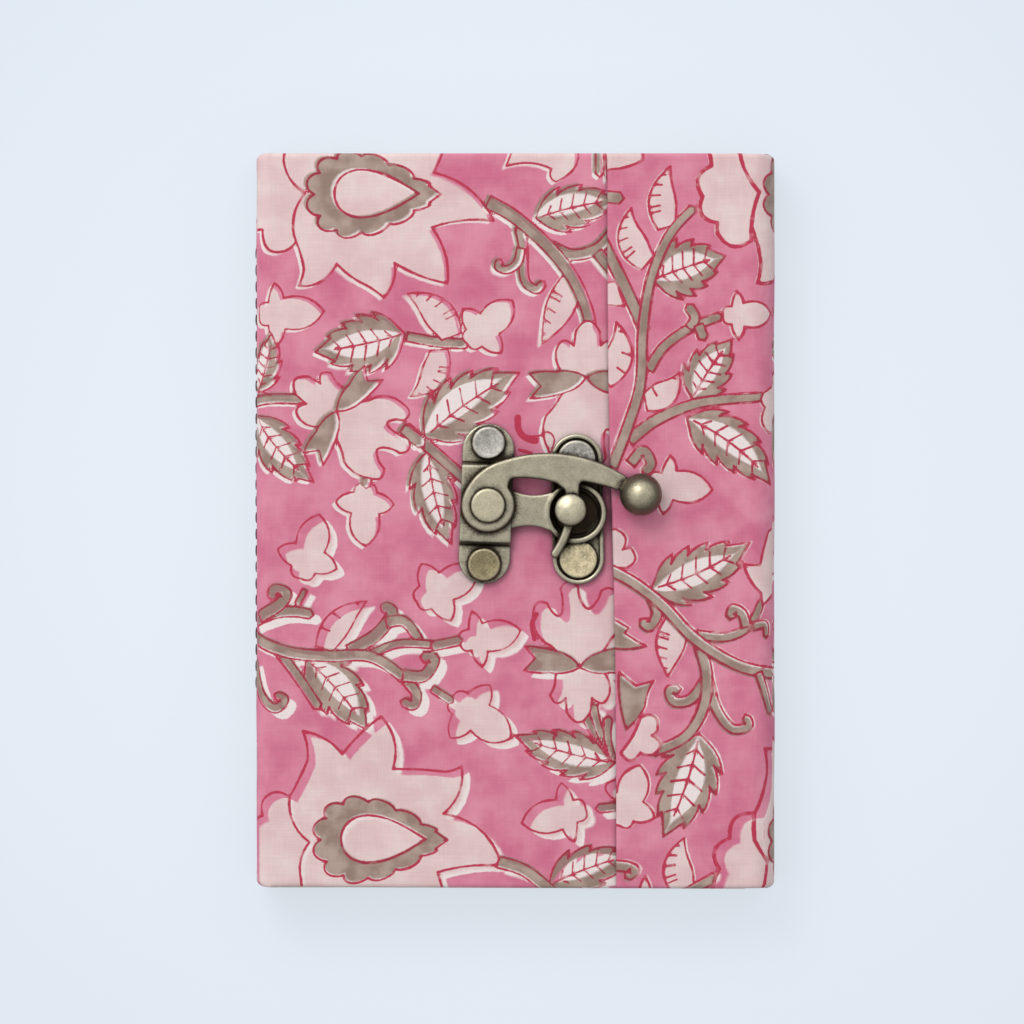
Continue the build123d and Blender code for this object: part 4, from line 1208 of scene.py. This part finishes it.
class DIARY_OT_cover_cloth(bpy.types.Operator):
    """Covers the case with the printed cotton: front, spine and back, fore edge and flap"""

    bl_idname = "diary.cover_cloth"
    bl_label = "Cover cloth"

    def execute(self, context):
        cloth = context.scene.diary_cloth
        skin = printed_cotton(cloth)
        fine, coarse, finest = cloth.grid, cloth.hidden_grid, cloth.flap_grid
        rows, rows_coarse, rows_finest = (
            every(TAIL_Y + EDGE_BULGE, HEAD_Y - EDGE_BULGE, step) for step in (fine, coarse, finest)
        )
        cover, flap_deep, spine_s = COVER_WRAP - TUCK, FLAP_WRAP - TUCK, LOWER_BEND_S
        covered_s = FRONT_S - HINGE_X + FLAP_EDGE_X + FLAP_COVER
        front = wrapped_cloth(
            "front_print_cloth",
            joined(every(HINGE_S, covered_s, fine), every(covered_s, FRONT_END_S - EDGE_BULGE, COVERED_GRID)),
            rows,
            lambda s: np.interp(s, [FRONT_S, FRONT_S + HINGE_STEP], [HINGE_WRAP, cover]),
            EDGE_BULGE,
            skin,
            end=1,
        )
        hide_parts("front_cloth", "front_hinge_cloth")
        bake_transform(front)
        back = wrapped_cloth(
            "case_print_cloth",
            every(BACK_S, HINGE_S, coarse),
            rows_coarse,
            lambda s: np.interp(
                s,
                [LOWER_FOLD_S, LOWER_FOLD_S + BACK_STEP, spine_s - HINGE_STEP, spine_s, SPINE_S, HINGE_S],
                [flap_deep, cover, cover, SPINE_WRAP, SPINE_WRAP, HINGE_WRAP],
            ),
            EDGE_BULGE,
            skin,
        )
        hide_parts("back_cloth", "spine_cloth", "spine_card")
        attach(back, "book_block")
        wall = wrapped_cloth(
            "fore_edge_print_cloth",
            every(WALL_S, BACK_S, coarse),
            rows_coarse,
            lambda s: np.full(s.shape, flap_deep),
            EDGE_BULGE,
            skin,
        )
        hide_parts("fore_edge_cloth", "lower_fold", "fore_edge_card")
        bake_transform(wall)
        flap = wrapped_cloth(
            "flap_print_cloth",
            every(FLAP_EDGE_X + FLAP_BULGE - FOLD_X, WALL_S, finest),
            rows_finest,
            lambda s: np.full(s.shape, flap_deep),
            FLAP_BULGE,
            skin,
            end=-1,
            edge=lambda y: -FLAP_EDGE_STEP * np.tanh(y / FLAP_EDGE_SPAN),
        )
        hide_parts("flap_cloth", "upper_fold", "flap_card")
        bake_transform(flap)
        return {"FINISHED"}


class DIARY_OT_linings(bpy.types.Operator):
    """Lays the lining papers over the turned-in cloth, in the covers and from the flap through its creases"""

    bl_idname = "diary.linings"
    bl_label = "Lining papers"

    def execute(self, context):
        paper = context.scene.diary_paper
        skin = handmade_paper("handmade_lining_paper", paper.lining_pale, paper.lining_deep)
        low, high = node_box("front_lining")
        start, stop = (low[0] + LINING_INSET, *low[1:]), (*high[:2], low[2] + LINING)
        front = paper_sheet("front_lining_paper", start, stop, skin, 0)
        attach(front, "front_cover")
        low, high = node_box("back_lining")
        back = paper_sheet("back_lining_paper", (*low[:2], high[2] - LINING), high, skin, 1)
        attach(back, "book_block")
        (edge_x, tail, _), (_, head, _) = node_box("flap_lining")
        start, stop = (edge_x - FOLD_X, tail, 0.0), (WALL_S + CREASE_LAP, head, LINING)
        folded = {"step": CREASE_GRID, "place": crease_place}
        flap = paper_sheet("flap_lining_paper", start, stop, skin, 2, **folded)
        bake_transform(flap)
        start, stop = (WALL_S, tail, -LINING_DROP), (BACK_S + CREASE_LAP, head, LINING)
        wall = paper_sheet("fore_edge_lining_paper", start, stop, skin, 3, **folded)
        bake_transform(wall)
        for sheet in (front, back, flap, wall):
            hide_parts(sheet.name.removesuffix("_paper"))
        return {"FINISHED"}


class DIARY_OT_pages(bpy.types.Operator):
    """Folds the pages into gatherings and lays the flyleaf on them"""

    bl_idname = "diary.pages"
    bl_label = "Pages"

    def execute(self, context):
        paper = context.scene.diary_paper
        skin = handmade_paper("handmade_rag_paper", paper.page_pale, paper.page_deep)
        card = handmade_paper("grey_card", paper.card_pale, paper.card_deep)
        for node in ("front_board", "back_board", "spine_card", "fore_edge_card", "flap_card"):
            reskinned(node, card)
        for number in range(1, 7):
            node = f"gathering_{number}"
            gathered = gathering(node, number, paper, skin)
            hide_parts(node)
            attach(gathered, "book_block")
        low, high = node_box("flyleaf")
        leaf = paper_sheet("flyleaf_paper", low, high, skin, 11, rough=paper.deckle, sewn=True)
        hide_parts("flyleaf")
        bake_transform(leaf)
        return {"FINISHED"}


def stitch_tree(skin, kinds):
    """Rows of bowed stitches on the spine, each a little aslant. kinds gives each input's kind of socket."""
    tree = bpy.data.node_groups.new("spine_stitches", "GeometryNodeTree")
    for name, kind in kinds.items():
        tree.interface.new_socket(name, in_out="INPUT", socket_type=f"NodeSocket{kind}")
    tree.interface.new_socket("Geometry", in_out="OUTPUT", socket_type="NodeSocketGeometry")
    given = add(tree, "NodeGroupInput").node.outputs
    # A quadratic curve's middle point stands twice as high as the curve does.
    tail, head, peak, radius, least = (
        add(tree, MATH, (given[name], share), operation="MULTIPLY")
        for name, share in (
            ("Length", -0.5), ("Length", 0.5), ("Rise", -2.0), ("Thickness", 0.5), ("Slant", -1.0),
        )
    )
    start, end = (add(tree, "ShaderNodeCombineXYZ", {"Y": value}) for value in (tail, head))
    middle = add(tree, "ShaderNodeCombineXYZ", {"X": peak})
    curve = {"Resolution": 8, "Start": start, "Middle": middle, "End": end}
    stitch = add(tree, "GeometryNodeCurveQuadraticBezier", curve)
    ring = add(tree, "GeometryNodeCurvePrimitiveCircle", {"Resolution": 8, "Radius": radius})
    solid = add(tree, "GeometryNodeCurveToMesh", {"Curve": stitch, "Profile Curve": ring, "Fill Caps": True})
    stations = add(tree, "GeometryNodeMeshGrid", {
        "Size X": given["Across"],
        "Size Y": given["Along"],
        "Vertices X": given["Rows"],
        "Vertices Y": given["Stitches"],
    })
    upright = add(tree, "GeometryNodeTransform", {
        "Geometry": stations,
        "Translation": given["Middle"],
        "Rotation": (0, QUARTER, 0),
    })
    between = {"Min": least, "Max": given["Slant"], "Seed": 4}
    slant = add(tree, "FunctionNodeRandomValue", between, 1, data_type="FLOAT")
    turned = add(tree, "ShaderNodeCombineXYZ", {"X": slant})
    sown = {"Points": upright, "Instance": solid, "Rotation": turned}
    sown = add(tree, "GeometryNodeInstanceOnPoints", sown)
    real = add(tree, "GeometryNodeRealizeInstances", {"Geometry": sown})
    dyed = add(tree, "GeometryNodeSetMaterial", {"Geometry": real, "Material": skin})
    add(tree, "NodeGroupOutput", {"Geometry": dyed})
    return tree


class DIARY_OT_stitches(bpy.types.Operator):
    """Sews the spine with rows of short thread stitches"""

    bl_idname = "diary.stitches"
    bl_label = "Spine stitches"

    def execute(self, context):
        thread = context.scene.diary_thread
        (_, low_y, low_z), (_, high_y, high_z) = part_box("spine_stitches")
        count = int(round((high_y - low_y - thread.length) / thread.pitch)) + 1
        inputs = {
            "Rows": ("Int", STITCH_ROWS),
            "Stitches": ("Int", count),
            "Across": ("Float", (high_z - low_z) * (STITCH_ROWS - 1) / STITCH_ROWS),
            "Along": ("Float", (count - 1) * thread.pitch),
            "Middle": ("Vector", (SPINE_X * MM, (low_y + high_y) / 2, (low_z + high_z) / 2)),
            "Length": ("Float", thread.length),
            "Rise": ("Float", thread.rise),
            "Thickness": ("Float", thread.thickness),
            "Slant": ("Float", STITCH_SLANT),
        }
        tree = stitch_tree(waxed_thread(thread), {name: kind for name, (kind, _) in inputs.items()})
        made = bpy.data.objects.new("spine_sewing", bpy.data.meshes.new("spine_sewing"))
        context.scene.collection.objects.link(made)
        grown = made.modifiers.new("stitches", "NODES")
        grown.node_group = tree
        for socket in tree.interface.items_tree:
            if socket.in_out == "INPUT":
                grown[socket.identifier] = inputs[socket.name][1]
        context.view_layer.update()
        graph = context.evaluated_depsgraph_get()
        plain = bpy.data.meshes.new_from_object(made.evaluated_get(graph))
        made.modifiers.remove(grown)
        made.data = plain
        plain.name = "spine_sewing"
        if not len(plain.vertices):
            raise RuntimeError("the stitches came out empty")
        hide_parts("spine_stitches")
        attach(made, "book_block")
        return {"FINISHED"}


def cap_plating(metal):
    """Rivet caps from different batches: silvery above, dull and bright brass below."""

    def plating(tree, place):
        spot = add(tree, "ShaderNodeSeparateXYZ", (place,)).node.outputs
        across, along = (add(tree, RANGE, (spot[axis], CAPS_FROM * MM, CAPS_TO * MM)) for axis in "XY")
        lower = add(tree, MIX, {0: across, 6: metal.cap_left, 7: metal.cap_right}, **COLOURS)
        return add(tree, MIX, {0: along, 6: lower, 7: metal.cap_top}, **COLOURS)

    return plating


def spot_plating(metal, middle, radius, inner):
    """Brass with another colour round one place."""

    def plating(tree, place):
        inputs = (place, [value * MM for value in middle])
        away = add(tree, "ShaderNodeVectorMath", inputs, "Value", operation="DISTANCE")
        share = add(tree, RANGE, (away, radius * MM, (radius + SPOT_RIM) * MM))
        return add(tree, MIX, {0: share, 6: inner, 7: metal.brass}, **COLOURS)

    return plating


class DIARY_OT_clasp(bpy.types.Operator):
    """Gives the clasp and its rivets their antiqued metal"""

    bl_idname = "diary.clasp"
    bl_label = "Clasp"

    def execute(self, context):
        metal = context.scene.diary_metal
        # Fingers rub the lever's ball. The catch plate's well, round the post, is painted black all over.
        ball = spot_plating(metal, BALL, BALL_RADIUS, metal.handled)
        well = spot_plating(metal, WELL, WELL_RADIUS, metal.dark)
        for name, plating, wear, nodes in (
            ("antiqued_brass", lambda tree, place: metal.brass, WEAR, ("hasp_plate",)),
            ("handled_brass", lambda tree, place: metal.handled, WEAR, ("pivot_rivet",)),
            ("antiqued_brass_lever", ball, WEAR, ("swing_lever",)),
            ("antiqued_brass_plate", well, WEAR, ("catch_plate",)),
            ("polished_brass", lambda tree, place: metal.post, WEAR, ("catch_post",)),
            ("worn_rivet_caps", cap_plating(metal), CAP_WEAR, ("plate_rivets", "rivet_backs")),
        ):
            skin = antiqued_metal(name, metal, plating, wear)
            for node in nodes:
                reskinned(node, skin)
        return {"FINISHED"}


def glowing_floor(stage):
    """Smooth pale paper, matt. Most of its light, where it is seen, is its own, so shadows stay faint."""
    made, tree, shader = material("pale_paper_floor")
    set_inputs(tree, shader, {"Base Color": stage.floor, "Roughness": 0.9, "Specular IOR Level": 0.1})
    place = add(tree, "ShaderNodeTexCoord", out="Object")
    away = add(tree, "ShaderNodeVectorMath", (place,), "Value", operation="LENGTH")
    # A painted pool of light: the floor is paler near the diary.
    light_pool = add(tree, RANGE, (away, FLOOR_PALE * MM, FLOOR_PLAIN * MM))
    paper = add(tree, MIX, {0: light_pool, 6: stage.backdrop, 7: stage.floor}, **COLOURS)
    # A painted shadow: the floor's own light is dimmed close by the diary.
    close = add(tree, "ShaderNodeAmbientOcclusion", {"Distance": FLOOR_SHADE * MM}, "AO")
    strength = add(tree, RANGE, (close, 0.4, 1.0, 0.94, 1.0))
    glow = add(tree, "ShaderNodeEmission", {"Color": paper, "Strength": strength})
    rays = add(tree, "ShaderNodeLightPath").node.outputs
    seen = rays["Is Camera Ray"]
    for kind in ("Is Glossy Ray", "Is Transmission Ray"):
        seen = add(tree, MATH, (seen, rays[kind]), operation="MAXIMUM")
    share = add(tree, MATH, (seen, stage.glow), operation="MULTIPLY")
    mixed = add(tree, "ShaderNodeMixShader", (share, shader.outputs[0], glow))
    set_inputs(tree, tree.nodes["Material Output"], {"Surface": mixed})
    return made


class DIARY_OT_stage(bpy.types.Operator):
    """Lays the pale floor and sets the soft light and the camera"""

    bl_idname = "diary.stage"
    bl_label = "Stage"

    def execute(self, context):
        stage = context.scene.diary_stage
        square = ((-1, -1), (1, -1), (1, 1), (-1, 1))
        corners = [(x * FLOOR_REACH, y * FLOOR_REACH, FLOOR_Z) for x, y in square]
        dressed("floor", corners, [(0, 1, 2, 3)], glowing_floor(stage), smooth=False)
        world = bpy.data.worlds.new("soft_room")
        world.use_nodes = True
        context.scene.world = world
        tree = world.node_tree
        # The room is brighter on the key light's side.
        inputs = (add(tree, "ShaderNodeTexCoord", out="Generated"), SKY_WAY)
        way = add(tree, "ShaderNodeVectorMath", inputs, "Value", operation="DOT_PRODUCT")
        least, most = stage.sky_strength * SKY_LEAST, stage.sky_strength * SKY_MOST
        bright = add(tree, RANGE, (way, -0.5, 1.0, least, most))
        set_inputs(tree, tree.nodes["Background"], {"Color": stage.sky, "Strength": bright})
        lamp = bpy.data.lights.new("key", "AREA")
        lamp.shape = "SQUARE"
        lamp.size = stage.key_size
        lamp.energy = stage.key_power
        key = bpy.data.objects.new("key", lamp)
        key.location = [stage.key_distance * value for value in KEY_WAY]
        key.rotation_euler = (-key.location).to_track_quat("-Z", "Y").to_euler()
        context.scene.collection.objects.link(key)
        lens = bpy.data.cameras.new("camera")
        lens.sensor_width = 36.0
        lens.lens = lens.sensor_width * stage.camera_height / stage.view_width
        lens.clip_end = 50.0
        camera = bpy.data.objects.new("camera", lens)
        camera.location = (stage.view_x, stage.view_y, FRONT_TOP_Z * MM + stage.camera_height)
        context.scene.collection.objects.link(camera)
        context.scene.camera = camera
        context.scene.view_settings.view_transform = "Standard"
        return {"FINISHED"}


class DIARY_PT_panel(bpy.types.Panel):
    """The diary's settings and steps"""

    bl_idname = "DIARY_PT_panel"
    bl_label = "Diary"
    bl_space_type = "VIEW_3D"
    bl_region_type = "UI"
    bl_category = "Diary"

    def draw(self, context):
        for group in SETTINGS:
            box = self.layout.box()
            box.label(text=group.__doc__)
            for name in group.__annotations__:
                box.prop(getattr(context.scene, SETTINGS[group]), name)
        for step in STEPS:
            self.layout.operator(step.bl_idname)


SETTINGS = {
    DiaryCloth: "diary_cloth",
    DiaryPaper: "diary_paper",
    DiaryThread: "diary_thread",
    DiaryMetal: "diary_metal",
    DiaryStage: "diary_stage",
}
STEPS = (
    DIARY_OT_cover_cloth,
    DIARY_OT_linings,
    DIARY_OT_pages,
    DIARY_OT_stitches,
    DIARY_OT_clasp,
    DIARY_OT_stage,
)


def register():
    for made in (*SETTINGS, *STEPS, DIARY_PT_panel):
        bpy.utils.register_class(made)
    for group, name in SETTINGS.items():
        setattr(bpy.types.Scene, name, bpy.props.PointerProperty(type=group))


def unregister():
    for name in SETTINGS.values():
        delattr(bpy.types.Scene, name)
    for made in (DIARY_PT_panel, *reversed(STEPS), *reversed(SETTINGS)):
        bpy.utils.unregister_class(made)


def main():
    register()
    bpy.ops.diary.cover_cloth()
    bpy.ops.diary.linings()
    bpy.ops.diary.pages()
    bpy.ops.diary.stitches()
    bpy.ops.diary.clasp()
    bpy.ops.diary.stage()


if __name__ == "__main__":
    main()
